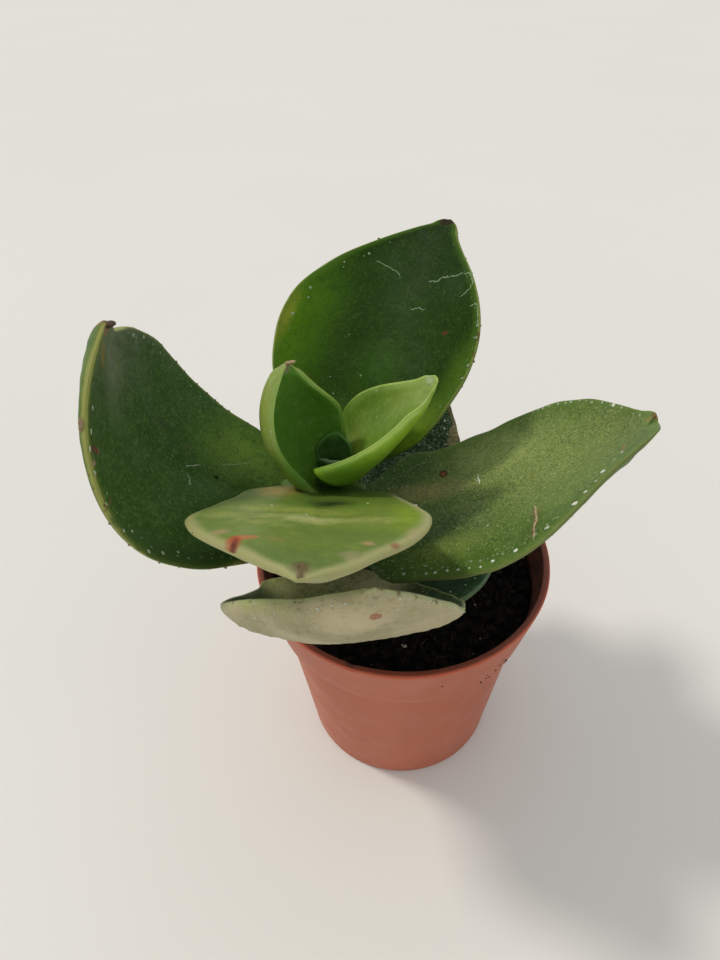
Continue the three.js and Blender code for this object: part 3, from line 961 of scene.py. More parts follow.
# A spot lies inside a closed mesh when a ray from it leaves through an odd number of faces
def liesInside(tree, spot):
    way = Vector((0.31, 0.22, 0.92)).normalized()
    mostCrossings = 40
    crossings = 0
    start = spot
    while crossings < mostCrossings:
        struck = tree.ray_cast(start, way)[0]
        if struck is None:
            break
        crossings += 1
        start = struck + way * 1e-6
    return crossings % 2 == 1


# Moves points that lie in a neighbour out to its surface
def clearOfLeaf(points, neighbour):
    tree = BVHTree.FromObject(neighbour, bpy.context.evaluated_depsgraph_get())
    gap = blade["leafGap"]
    for i, point in enumerate(points):
        spot = Vector(point * mm)
        near, normal, _, distance = tree.find_nearest(spot, blade["search"] * mm)
        if near is None:
            continue
        if distance < gap * mm or ((spot - near).dot(normal) < 0 and liesInside(tree, spot)):
            points[i] = np.array(near) / mm + np.array(normal) * gap
    return points


# A spot on a face of the blade, with its forward, sideways and outward unit vectors
def bladeSpot(leaf, place, across, face=1):
    t = np.array([[np.clip(place / leaf["size"]["length"], 0.01, 0.993)]])
    width = bladeSheet(leaf, t, np.array([[math.copysign(1, across)]]))[3]
    v = np.clip(across / width, -0.985, 0.985)
    middle, side, up, width = bladeSheet(leaf, t, v)
    high, low = bladeFaces(leaf, t, v, width)
    relief = bladeRelief(leaf, t, v, width, face)
    height = high + relief if face else low - relief
    point = (middle + up * height[..., None])[0, 0]
    side, up = side[0, 0], up[0, 0]
    return point, np.stack([np.cross(side, up), side, up if face else -up])


# A small irregular bead, its half sizes given along, across and out of the blade
def bead(ball, axes, spot, half, draw):
    spots, faces = ball
    rough = 1 + blade["beadRough"] * lumps(spots, 1.2, int(draw.integers(1, 10 ** 6)))
    return (spots * rough[:, None] * half) @ axes + spot, faces


beyondMargin = 99  # further across than any blade, so that a spot lands on its margin


# Small grown and dried things on a leaf: salt dots, warts and bumps on the margin, crusted lines and a
# nub on the tip. Each is (points, faces, whether it is salt, tone)
def leafTrimmings(leaf, draw):
    made = []
    fineBall, ball = ballMesh(2), ballMesh(1)
    length = leaf["size"]["length"]
    for row in leaf.get("dots", []):
        places = [(a, c, size, 1) for a, c, size in row.get("places", [])]
        spot = row.get("from", 1) * length
        while spot < row.get("to", 0) * length:
            width = float(halfWidth(leaf, np.array(spot / length)))
            inset = row["inset"] * draw.uniform(0.75, 1.35)
            if width > 2.5:
                size = row["size"] * draw.uniform(0.6, 1.25)
                places.append((spot, row["side"] * (width - inset), size, draw.uniform(0.75, 1.3)))
            spot += row["every"] * draw.uniform(0.55, 1.5)
        for a, c, size, stretch in places:
            point, axes = bladeSpot(leaf, a, c, row.get("face", 1))
            half = (size * stretch, size / stretch, size * 0.3)
            made.append((*bead(fineBall, axes, point, half, draw), True, row["tone"]))
    for row in leaf.get("warts", []):
        spot = row["from"] * length
        while spot < row["to"] * length:
            point, axes = bladeSpot(leaf, spot, row["side"] * beyondMargin, row.get("face", 0))
            size = row["size"] * draw.uniform(0.5, 1.3)
            out = axes[1] * row["side"] * 0.08
            half = (size * draw.uniform(0.8, 1.5), size, size * 0.8)
            tone = row["tone"] * draw.uniform(0.5, 1.3)
            made.append((*bead(ball, axes, point + out, half, draw), False, tone))
            spot += row["every"] * draw.uniform(0.5, 1.6)
    for knob in leaf.get("bumps", []):
        point, axes = bladeSpot(leaf, knob["at"], knob["side"] * beyondMargin, 0)
        spot = point + axes[1] * knob["side"] * knob["out"]
        made.append((*bead(fineBall, axes, spot, knob["half"], draw), False, knob["tone"]))
    for line in leaf.get("crusts", []):
        made.append((*crustLine(leaf, line, draw), line.get("salt", True), line["tone"]))
    if "nub" in leaf:
        nub = leaf["nub"]
        tip = bladeFrames(leaf, np.array([1.0]))[0][0]
        way = np.array(nub["way"]) / np.linalg.norm(nub["way"])
        across = np.cross(way, (0.0, 0.0, 1.0))
        across = across / np.linalg.norm(across)
        axes = np.stack([way, across, np.cross(way, across)])
        grown = bead(fineBall, axes, tip + np.array(nub["shift"]), nub["half"], draw)
        made.append((*grown, False, nub["tone"]))
    return made


# A thin broken ridge that follows a line on the blade
def crustLine(leaf, line, draw):
    crust = blade["crust"]
    knots = np.array(line["way"], float)
    travel = np.concatenate([[0], np.cumsum(np.linalg.norm(np.diff(knots, axis=0), axis=1))])
    whole = travel[-1]
    count = max(int(whole / crust["step"]), 6)
    shake = line.get("shake", 0.05)
    stations = []
    for stop in np.linspace(0, whole, count):
        a, c = (np.interp(stop, travel, knots[:, k]) + draw.normal() * shake for k in (0, 1))
        point, axes = bladeSpot(leaf, a, c, 1)
        ends = min(stop, whole - stop) / line["half"] / 4
        half = line["half"] * draw.uniform(0.35, 1.2) * min(ends + 0.15, 1)
        stations.append((point, axes[2], half))
    ways = np.gradient(np.array([point for point, _, _ in stations]), axis=0)
    ring = turnsRound(crust["sides"])[:, None]
    rings = []
    for (point, out, half), way in zip(stations, ways):
        across = np.cross(way, out)
        across = across / max(np.linalg.norm(across), 1e-9)
        rings.append(point + np.cos(ring) * across * half + np.sin(ring) * out * half * crust["flat"])
    return np.concatenate(rings), tubeFaces(count, crust["sides"])


# Points, labels and faces of a whole closed blade
def bladeMesh(leaf):
    count, across = leaf["mesh"]
    share = np.linspace(0, 1, count)
    stations = blade["lastStation"] * (1 - (1 - share) ** blade["crowding"])
    rings, labels = bladeRings(leaf, stations, across)
    # Heel: the blade runs inward until it meets the stem
    start = math.radians(leaf["heading"][0])
    inward = -np.array([math.cos(start), math.sin(start), 0])
    heel = max(leaf["seat"]["reach"] - blade["heel"]["inset"], 0.1)
    heelShares = np.linspace(1, 0, blade["heel"]["rings"] + 1)[:-1]
    heelRings = rings[0][None] + inward * heel * heelShares[:, None, None]
    # Tip: the last ring closes in a quarter round
    tipPoint = bladeFrames(leaf, np.array([1.0]))[0][0]
    lastMiddle = rings[-1].mean(0)
    beyond = (tipPoint - lastMiddle) * blade["tip"]["reach"]
    turns = np.radians(blade["tip"]["turns"])
    tipRings = [(rings[-1] - lastMiddle) * math.cos(a) + lastMiddle + beyond * math.sin(a) for a in turns]
    allRings = np.concatenate([heelRings, rings, tipRings])
    heelLabels = np.repeat(labels[:1], len(heelShares), 0)
    allLabels = np.concatenate([heelLabels, labels, np.repeat(labels[-1:], len(turns), 0)])
    total, sides = allRings.shape[:2]
    points = np.concatenate([allRings.reshape(-1, 3), [lastMiddle + beyond]])
    tags = np.concatenate([allLabels.reshape(-1, 4), [[leaf["size"]["length"], 0, 0.5, 0]]])
    faces = bandFaces(total, sides) + fanFaces((total - 1) * sides, sides, total * sides)
    # Heel cap: strips between the upper and the lower side, and one face at each margin
    lowerStart = across + blade["marginPoints"]
    for i in range(across - 1):
        j = lowerStart + across - 1 - i
        faces.append((i, i + 1, j - 1, j))
    faces.append(tuple(range(across - 1, lowerStart + 1)))
    faces.append((0, *range(lowerStart + across - 1, sides)))
    return points, tags, faces


def makeLeaf(name, node, leaf, neighbours=()):
    points, tags, faces = bladeMesh(leaf)
    points = clearOfStem(points)
    for neighbour in neighbours:
        points = clearOfLeaf(points, neighbour)
    slots = [0] * len(faces)
    tones = [0.0] * len(points)
    extras = leafTrimmings(leaf, np.random.default_rng(leaf["wave"]["seed"] + 9))
    for spots, spotFaces, salt, tone in extras:
        first = len(points)
        points = np.concatenate([points, spots])
        tags = np.concatenate([tags, np.zeros((len(spots), 4))])
        tones += [tone] * len(spots)
        faces += [tuple(i + first for i in face) for face in spotFaces]
        slots += [1 if salt else 2] * len(spotFaces)
    skin = leafSkin(name + "Skin", leaf)
    readings = {
        "leafPlace": tags[:, :3],
        "leafRim": np.minimum(tags[:, 3], (leaf["size"]["length"] - tags[:, 0]) * 0.8),
        "leafSpan": tags[:, 0] / leaf["size"]["length"],
        "trimTone": np.array(tones),
    }
    skins = [skin, saltCrust, driedSkin]
    piece = makePiece(name, points, faces, skins, slots, readings, node=node)
    print(name, len(faces), "faces,", len(extras), "trimmings")
    return piece


# Dots and crusts run from dull green to nearly white, dried bits from dark brown to pale tan
def trimMaterial(name, low, high, grainColor, rough):
    material, tree, shader = blankMaterial(
        name,
        Specular_IOR_Level=0.25,
        Subsurface_Weight=0.15,
        Subsurface_Scale=0.4 * mm,
    )
    speckle = grain(tree, solidPlace(tree), 0.3, detail=4)
    color = blend(tree, reading(tree, "trimTone"), low, high)
    color = blend(tree, spread(tree, speckle, 0.42, 0.66, 0, 0.5), color, grainColor)
    roughness = spread(tree, speckle, 0.3, 0.7, rough + 0.1, rough - 0.1)
    dress(tree, shader, color, roughness, bump(tree, speckle, 0.06))
    return material


saltCrust = trimMaterial("saltCrust", "#64825c", "#f2f1e0", "#8c9a70", 0.75)
driedSkin = trimMaterial("driedSkin", "#2a1a12", "#b5a07a", "#5a4230", 0.65)


# A leaf's skin and marks are like this where its own dictionary says nothing else
plainSkin = {
    "footEnd": 0.4,
    "tipStart": 0.7,
    "cloudy": 0.35,
    "mottled": 0.3,
    "grainy": 0.3,
    "washes": [],
    "speckles": [],
    "nearShare": 0.6,
    "rimShare": 0.7,
    "cork": 0.56,
    "corkColor": "#5e4229",
    "pitColor": "#5d5a40",
    "glow": 0.25,
    "shine": 0.22,
    "rough": 0.5,
    "relief": 0.06,
}
plainMark = {"face": 1, "wrap": 0.8, "soft": 0.35, "ragged": 1.0, "share": 0.9, "sunk": 0.5}


# A soft patch of colour, used for the leaf's own tone and for painted light and shade: its place and half
# sizes along and across the blade, and how much of it shows
def wash(at, size, color, share, ragged=0.25):
    return {"at": at, "size": size, "color": color, "share": share, "ragged": ragged}


# A smaller spot of two tints; face 0 is the underside, and a high wrap lets it run round the margin
def mark(at, size, color, second=None, **more):
    return {**plainMark, "at": at, "size": size, "color": color, "second": second or color, **more}


# The same rows of dots along both margins
def bothSides(*rows):
    return [{"side": side, **row} for row in rows for side in (1, -1)]


# Thick skin. Colours run from foot to tip, then come washes, speckle, the underside, the rim and the marks
def leafSkin(name, leaf):
    skin = {**plainSkin, **leaf["skin"]}
    material, tree, shader = blankMaterial(
        name,
        Subsurface_Weight=skin["glow"],
        Subsurface_Radius=(0.9, 1.2, 0.25),
        Subsurface_Scale=1.2 * mm,
        Specular_IOR_Level=skin["shine"],
    )
    solid = solidPlace(tree)
    place = reading(tree, "leafPlace", "Vector")
    face = addNode(tree, "SeparateXYZ", {0: place}).outputs["Z"]
    rim = reading(tree, "leafRim")
    span = reading(tree, "leafSpan")
    cloud = grain(tree, solid, 8, detail=4)
    wobble = grain(tree, solid, 1.7, detail=5, rough=0.6)
    fine = grain(tree, solid, 0.5, detail=3, rough=0.6)
    mottle = grain(tree, solid, 1.3, detail=4, rough=0.65)
    color = blend(tree, spread(tree, span, 0.02, skin["footEnd"]), skin["foot"], skin["middle"])
    color = blend(tree, spread(tree, span, skin["tipStart"], 1.0), color, skin["tip"])
    color = blend(tree, spread(tree, cloud, 0.4, 0.68, 0, skin["cloudy"]), color, skin["dark"])
    for patch in skin["washes"]:
        centre, size = (*patch["at"], 1), (*patch["size"], 0.8)
        share = markShare(tree, place, centre, size, 1.0, wobble, patch["ragged"])
        color = blend(tree, times(tree, share, patch["share"]), color, patch["color"])
    # Mottled flesh under a fine pale and dark grain: noise, its start and end, share, colour
    layers = (
        (mottle, 0.48, 0.7, skin["mottled"], "dark"),
        (mottle, 0.5, 0.3, skin["mottled"] * 0.5, "pale"),
        (fine, 0.52, 0.72, skin["grainy"], "pale"),
        (fine, 0.46, 0.3, skin["grainy"], "dark"),
    )
    for noise, start, end, share, tone in layers:
        color = blend(tree, spread(tree, noise, start, end, 0, share), color, skin[tone])
    height = times(tree, fine, 0.6)
    for speckle in skin["speckles"]:
        dust = grain(tree, solid, speckle["size"], detail=2, rough=0.7)
        dust = plus(tree, dust, swing(tree, wobble, 0.25))
        share = spread(tree, dust, speckle["cover"], speckle["cover"] + 0.1, 0, speckle["share"])
        if "at" in speckle:
            centre, size = (*speckle["at"], 1), (*speckle["reach"], 0.9)
            share = times(tree, share, markShare(tree, place, centre, size, 0.85, wobble, 0.6))
        color = blend(tree, share, color, speckle["color"])
        height = plus(tree, height, times(tree, share, 0.5))
    below = blend(tree, spread(tree, cloud, 0.35, 0.7), skin["below"], skin["belowDark"])
    below = blend(tree, spread(tree, fine, 0.5, 0.75, 0, 0.35), below, skin["pale"])
    if "pits" in skin:
        pits = grain(tree, stretched(tree, solid, (0.7, 1, 1.4)), skin["pitSize"], detail=3)
        pits = times(tree, spread(tree, pits, 0.58, 0.7), skin["pits"])
        below = blend(tree, pits, below, skin["pitColor"])
        height = maths(tree, "SUBTRACT", height, pits)
    color = blend(tree, spread(tree, face, 0.3, 0.1), color, below)
    # Thin translucent rim, in places turned to brown cork
    grown = spread(tree, span, 0.12, 0.3)
    if "near" in skin:
        nearShare = times(tree, spread(tree, rim, skin["nearWidth"], 0.3, 0, skin["nearShare"]), grown)
        color = blend(tree, nearShare, color, skin["near"])
    rimEdge = plus(tree, rim, swing(tree, wobble, 0.4))
    rimShare = spread(tree, rimEdge, skin["rimWidth"], skin["rimWidth"] * 0.1, 0, skin["rimShare"])
    color = blend(tree, times(tree, rimShare, grown), color, skin["rim"])
    corky = spread(tree, wobble, skin["cork"], skin["cork"] + 0.1, 0, 0.75)
    corky = times(tree, times(tree, spread(tree, rim, 0.35, 0.08), corky), grown)
    color = blend(tree, corky, color, skin["corkColor"])
    rough = spread(tree, cloud, 0.3, 0.7, skin["rough"] - 0.06, skin["rough"] + 0.08)
    for spot in leaf.get("marks", []):
        centre, size = (*spot["at"], spot["face"]), (*spot["size"], spot["wrap"])
        share = markShare(tree, place, centre, size, spot["soft"], wobble, spot["ragged"])
        share = times(tree, share, spot["share"])
        tint = blend(tree, spread(tree, fine, 0.35, 0.65), spot["color"], spot["second"])
        color = blend(tree, share, color, tint)
        rough = plus(tree, rough, times(tree, share, 0.18))
        height = maths(tree, "SUBTRACT", height, times(tree, share, spot["sunk"]))
    dress(tree, shader, color, rough, bump(tree, height, skin["relief"]))
    return material


# A leaf's lengths are millimetres and its angles degrees. heading, rise, roll and cup give the value at
# the foot, then its growth towards the tip; plus and minus are the two halves of the blade.
# Lobes and droops of the margin are (side, place, width, depth), bites of the tip (across, width, depth).
# Dots have a half size, and every is the distance from one to the next
leafLeft = {
    "seat": {"height": 65.2, "reach": 3.4, "aside": -1.2},
    "heading": (193.5, 14.5, 0),
    "rise": (22, 23.5, 78),
    "roll": (-3.5, -24.5),
    "cup": {"plus": (27, -19), "minus": (23, -9)},
    "size": {"length": 53.5, "width": 39.5, "skew": -0.02, "hook": 0.9},
    "outline": {"base": 0.51, "widest": 1.3, "fullness": 0.75},
    "thickness": {"base": 3.2, "tip": 2, "margin": 0.65},
    "mesh": (150, 61),
    "furrow": 0.35,
    "wave": {"margin": 0.12, "length": 6, "swell": 0.16, "pucker": 0.04, "size": 9, "seed": 101},
    "edge": 0.25,
    "bevel": 1.2,
    "lean": (0.55, 0.35),
    "lobes": [(-1, 51, 1.2, -1.6), (-1, 47.5, 2.5, 0.8)],
    "skin": {
        "foot": "#486517",
        "middle": "#36581e",
        "tip": "#445b2e",
        "dark": "#274317",
        "pale": "#66803f",
        "below": "#5e7440",
        "belowDark": "#4a6132",
        "near": "#6a7634",
        "nearWidth": 0.9,
        "rim": "#a0a05a",
        "rimWidth": 0.25,
        "rimShare": 0.7,
        "shine": 0.1,
        "grainy": 0.7,
        "mottled": 0.4,
        "cork": 0.57,
        "washes": [
            # Painted sheen: the curled top of the blade is painted greyer
            wash((46, -4), (10, 9), "#747b5f", 0.72),
            wash((46, -3.5), (6, 1.2), "#6d6a62", 0.5),
            wash((14, -8), (12, 9), "#6f902f", 0.72),
            wash((29, -6.9), (2.2, 1.6), "#3a3a28", 0.6),
        ],
        "speckles": [{"size": 0.32, "cover": 0.54, "share": 0.22, "color": "#7a8c58"}],
    },
    "dots": [
        {
            "tone": 0.4,
            "places": [
                (46, -11.6, 0.3), (41.7, -15.7, 0.28), (46.5, 8.9, 0.34), (45.4, 12, 0.36),
                (44.4, 15.2, 0.36), (42.4, 17, 0.3), (39.5, 18.9, 0.22), (36.2, 19.6, 0.26),
                (32.1, 19.9, 0.3), (29.9, 18.4, 0.3), (27.3, 17.1, 0.22), (34.9, 17.9, 0.2),
            ],
        },
        {"side": 1, "from": 0.35, "to": 0.75, "every": 1.5, "inset": 1.4, "size": 0.17, "tone": 0.12},
        {"side": -1, "from": 0.4, "to": 0.92, "every": 2.4, "inset": 1.2, "size": 0.16, "tone": 0.1},
    ],
    "warts": [
        {"side": 1, "from": 0.36, "to": 0.8, "every": 3.2, "size": 0.17, "tone": 0.8},
        {"side": -1, "from": 0.15, "to": 0.85, "every": 2.4, "size": 0.18, "tone": 0.4, "face": 1},
    ],
    "bumps": [
        {"at": 46.2, "side": 1, "out": 0.1, "half": (1.1, 0.35, 0.35), "tone": 0.7},
        {"at": 27.8, "side": -1, "out": 0.3, "half": (0.8, 0.5, 0.4), "tone": 0.3},
        {"at": 22.9, "side": -1, "out": 0.3, "half": (0.6, 0.5, 0.4), "tone": 0.3},
        {"at": 17.1, "side": -1, "out": 0.3, "half": (0.5, 0.5, 0.4), "tone": 0.7},
    ],
    "nub": {"way": (1, 0.2, 0.1), "shift": (0.3, 0, -0.3), "half": (0.8, 0.5, 0.45), "tone": 0.15},
    "crusts": [
        {"way": [(23.9, -1.2), (22.2, -2.1), (20.8, -2.9)], "half": 0.09, "tone": 0.4},
        {"way": [(23.7, 0), (23, 1.1), (23.5, 2.5), (22.9, 1.8)], "half": 0.09, "tone": 0.4},
        {"way": [(16.7, -4.5), (14, -5.2), (11.4, -6.1)], "half": 0.05, "tone": 0.3},
    ],
    "marks": [
        mark((43.9, 13.2), (0.7, 0.75), "#54342a", "#7a5442", ragged=0.6, soft=0.5),
        mark((43.3, 12.5), (0.7, 0.75), "#54342a", "#7a5442", ragged=0.6, soft=0.5),
        mark((42.7, 11.9), (0.6, 0.65), "#7a5a42", "#8d6e54", ragged=0.6, soft=0.6),
        mark((43.1, 12.3), (0.3, 0.35), "#7c2a22", ragged=0.5),
        mark((43.1, 14.6), (0.35, 0.5), "#a08672", "#8a7058", soft=0.6, ragged=0.6),
        mark((39, 16.6), (0.3, 0.9), "#7d5a44", share=0.7, soft=0.7),
        mark((18, -1.3), (0.45, 0.4), "#191a0e"),
        mark((23.5, -5.5), (1.2, 0.6), "#6a5a3a", share=0.5, soft=0.8, ragged=2),
        mark((26, 18.4), (15, 2.8), "#3c5626", share=0.85, soft=0.5, wrap=1.6, sunk=0),
        mark((53.2, 0), (1.7, 1.5), "#94795c", "#7d5d44", ragged=0.8, wrap=1.6),
        mark((50.2, 2.2), (3.0, 1.9), "#8c7638", share=0.7, soft=0.85, sunk=0),
    ],
}

leafRight = {
    "seat": {"height": 62.5, "reach": 4.1, "aside": -0.8},
    "heading": (-13.5, 2.5, -1.5),
    "rise": (14, 38, 0),
    "roll": (-1.5, -19.5),
    "cup": {"plus": (22, 17), "minus": (-9, 18)},
    "size": {"length": 50.5, "width": 37.5, "skew": -0.03, "hook": 0.1},
    "outline": {"base": 0.66, "widest": 1.4, "fullness": 0.89},
    "thickness": {"base": 3.2, "tip": 1.3, "margin": 0.55},
    "mesh": (150, 61),
    "furrow": 0.3,
    "edge": 0.25,
    "bevel": 1.3,
    "lean": (0.1, 0.6),
    "wave": {"margin": 0.14, "length": 5, "swell": 0.18, "pucker": 0.05, "size": 9, "seed": 202},
    "lobes": [
        (1, 5, 5, 2.6),
        (1, 16, 5, 0.6),
        (1, 50.5, 1.8, 1.8),
        (-1, 49.8, 2.7, 5.0),
        (-1, 46.8, 2, 0.7),
    ],
    "bites": [(0.4, 0.8, 1.2), (-5.6, 2.6, -1.7)],
    "skin": {
        "foot": "#406026",
        "middle": "#526e28",
        "tip": "#60743b",
        "dark": "#2f4b22",
        "pale": "#8b984b",
        "below": "#64794a",
        "belowDark": "#50653b",
        "rim": "#737a44",
        "rimWidth": 0.22,
        "near": "#5f7a35",
        "nearWidth": 1.6,
        "shine": 0.15,
        "cork": 0.68,
        "footEnd": 0.5,
        "washes": [
            wash((35, 4), (20, 17), "#85954e", 0.45),
            # Painted light: this pale patch lightens where the back leaf casts its shadow
            wash((24, 11), (15, 9), "#99a860", 0.75),
            wash((12, 5), (12, 4), "#98905a", 0.8),
            wash((18.5, -10.5), (10, 5), "#86933f", 0.5),
            wash((38, -8), (12, 6), "#738a42", 0.4),
            # Painted shade: the front of the foot is darkened where the leaves above shade it
            wash((17, -5), (12, 6), "#25402a", 0.6),
        ],
        "speckles": [
            {
                "size": 0.36,
                "cover": 0.47,
                "share": 0.55,
                "color": "#9ba65c",
                "at": (30, 3),
                "reach": (28, 18),
            },
            {"size": 0.42, "cover": 0.58, "share": 0.55, "color": "#b2b97a"},
            {"size": 0.3, "cover": 0.53, "share": 0.6, "color": "#344f20"},
        ],
    },
    "dots": [
        {
            "tone": 0.85,
            "places": [
                (44.1, 9.9, 0.34), (43.6, -8.7, 0.46), (41.7, -13, 0.32), (40.2, -14.6, 0.46),
                (30.7, -18, 0.36), (26.7, -17.8, 0.32), (24.5, -17.6, 0.22), (22.4, -16.8, 0.18),
            ],
        },
        {
            "tone": 0.4,
            "places": [
                (43.1, -11.4, 0.3), (36, -17, 0.42), (20.4, -16.2, 0.28), (18.4, -15.5, 0.28),
                (16.2, -15, 0.32), (14.6, -14.6, 0.28), (10.6, -13.5, 0.32), (24.1, -8.2, 0.22),
                (46, -5.3, 0.3), (45.2, -6.9, 0.25),
            ],
        },
        {"side": -1, "from": 0.2, "to": 0.97, "every": 1.8, "inset": 1.3, "size": 0.17, "tone": 0.25},
        {"side": 1, "from": 0.6, "to": 0.96, "every": 1.2, "inset": 0.8, "size": 0.18, "tone": 0.5},
    ],
    "warts": [
        {"side": -1, "from": 0.6, "to": 0.95, "every": 2.2, "size": 0.13, "tone": 0.5},
        {"side": 1, "from": 0.2, "to": 0.95, "every": 1.8, "size": 0.2, "tone": 0.35},
    ],
    "crusts": [
        {"way": [(20.2, 7.3), (20.7, 4.4)], "half": 0.12, "tone": 0.8},
        {"way": [(19.7, 5.9), (21, 5.2)], "half": 0.1, "tone": 0.7},
        {
            "way": [(32, -7.8), (32.6, -10.2), (33.2, -12.2), (33.2, -14.2), (33.7, -16.6), (33.7, -18)],
            "half": 0.24,
            "tone": 1.15,
            "shake": 0.06,
            "salt": False,
        },
        {
            "way": [(31.7, -8.6), (32.2, -10.4), (32.8, -12.4), (32.9, -14.6), (33.3, -16.2)],
            "half": 0.1,
            "tone": 0.4,
            "salt": False,
        },
    ],
    "marks": [
        mark((13.9, 8.9), (0.9, 1.0), "#452a1c", ragged=0.3, soft=0.3),
        mark((13.9, 8.9), (0.55, 0.65), "#84452a", "#8f5334", ragged=0.3, soft=0.5),
        mark((33, -12.5), (1.0, 6), "#6f6238", share=0.5, soft=0.8),
        mark((50.4, 1.9), (0.8, 1.4), "#4a331e", "#8a6a3c", wrap=1.6, soft=0.7),
        mark((50.6, -3.4), (0.5, 1.8), "#8a8d42", wrap=1.6, soft=0.8, share=0.5),
        mark((49.3, 1.7), (0.45, 0.8), "#8f7c42", ragged=0.6, soft=0.7),
        mark((45.9, -3.4), (0.35, 0.9), "#97824c", "#7d5a3c", soft=0.7),
        mark((30, 2), (0.4, 0.8), "#7d7240", share=0.5),
    ],
}

leafBack = {
    "seat": {"height": 70.3, "reach": 3.2, "aside": 0.6},
    "heading": (63.5, -9.5, 0),
    "rise": (42, -11.5, 0.5),
    "roll": (4, -10.5),
    "cup": {"plus": (36, -12), "minus": (27, 4)},
    "size": {"length": 48, "width": 36.5, "skew": 0.04, "hook": -0.3},
    "outline": {"base": 0.37, "widest": 0.94, "fullness": 0.97},
    "thickness": {"base": 3.2, "tip": 2, "margin": 0.8},
    "mesh": (150, 61),
    "furrow": 0.25,
    "wave": {"margin": 0.08, "length": 8, "swell": 0.12, "pucker": 0.03, "size": 10, "seed": 303},
    "edge": 0.25,
    "bevel": 3,
    "lean": (0.1, 0.1),
    "lobes": [(-1, 46.6, 1.6, 1.0), (-1, 41, 3, -0.3), (1, 47.4, 0.8, 0.5)],
    "skin": {
        "foot": "#385a17",
        "middle": "#1e3b05",
        "tip": "#182d08",
        "dark": "#132805",
        "pale": "#405a19",
        "below": "#5c7a3a",
        "belowDark": "#48652c",
        "rim": "#8a9450",
        "rimWidth": 0.2,
        "rimShare": 0.6,
        "near": "#47651c",
        "nearWidth": 1.8,
        "cloudy": 0.25,
        "grainy": 0.3,
        "shine": 0.06,
        "washes": [
            # Painted glow: these two washes light the left half and its margin as if the sun shone through
            # the blade
            wash((20, 19), (24, 14), "#517a0d", 0.8),
            wash((21, 18.7), (10, 2.4), "#94902c", 0.75),
            wash((19.1, 18.9), (3, 0.9), "#8c5527", 0.5),
            wash((18, -17), (12, 5), "#587b1b", 0.6),
            wash((38, -5), (12, 11), "#19300a", 0.65),
            # Painted light: the right part of the foot is painted bright yellow-green as if sunlit
            wash((8, -13), (11, 7), "#799827", 0.85),
            wash((18, -1), (9, 8), "#3f680c", 0.3),
        ],
        "speckles": [{"size": 0.4, "cover": 0.56, "share": 0.14, "color": "#6b873a"}],
    },
    "dots": [
        {
            "tone": 0.12,
            "places": [
                (34.1, 13.1, 0.2), (27.7, 16.5, 0.26), (22.3, 17.2, 0.3), (26, 16, 0.18),
                (37.2, 9.8, 0.25), (28.3, -17.2, 0.3), (26.3, -17.7, 0.28), (21.7, -17.7, 0.28),
                (19.5, -17.7, 0.26), (22.4, 6.5, 0.13), (16.3, 1.6, 0.16), (14.5, 6.7, 0.13),
                (12, 5.1, 0.14),
            ],
        },
        {"side": -1, "from": 0.3, "to": 0.92, "every": 2.4, "inset": 1.2, "size": 0.13, "tone": 0.02},
        {"side": 1, "from": 0.35, "to": 0.9, "every": 3.6, "inset": 1.6, "size": 0.12, "tone": 0.02},
    ],
    "warts": [
        {"side": -1, "from": 0.3, "to": 0.95, "every": 4.5, "size": 0.15, "tone": 0.4},
        {"side": 1, "from": 0.4, "to": 0.95, "every": 5, "size": 0.15, "tone": 0.3},
    ],
    "bumps": [{"at": 40.5, "side": 1, "out": 0.4, "half": (0.25, 0.4, 0.3), "tone": 0.02}],
    "crusts": [
        {
            "way": [(36.4, 8), (36.3, 6.6), (36, 5.5), (35.7, 3.5), (35, 2.3), (34.5, 2.3)],
            "half": 0.1,
            "tone": 0.04,
        },
        {
            "way": [(35.2, -3.2), (35.4, -5.1), (36.1, -5.6), (36.6, -7.4), (36.7, -9), (37.2, -10.1)],
            "half": 0.17,
            "tone": 0.06,
            "shake": 0.1,
        },
        {
            "way": [
                (37.2, -10.1), (36.9, -11.6), (35.7, -12.8),
                (34.5, -12.7), (33.8, -12.1), (32.9, -11.2),
            ],
            "half": 0.16,
            "tone": 0.06,
            "shake": 0.1,
        },
        {
            "way": [(31.4, -13.6), (31.9, -14.7), (31.3, -15.8), (30, -16.2), (29.2, -17), (28.3, -17.2)],
            "half": 0.15,
            "tone": 0.06,
            "shake": 0.1,
        },
        {
            "way": [(29.5, -2.1), (30, -2.9), (30.2, -3.9), (30, -5)],
            "half": 0.12,
            "tone": 0.1,
            "shake": 0.1,
        },
    ],
    "marks": [
        mark((26.6, -10.7), (0.55, 0.8), "#43321c", "#5e3a24", ragged=1.2),
        mark((47.6, -0.6), (1.5, 2.4), "#1f140f", "#3a271e", ragged=0.8, wrap=1.6),
        mark((35, -9), (4.5, 5), "#56765a", share=0.08, soft=0.9, ragged=2, sunk=0),
    ],
}

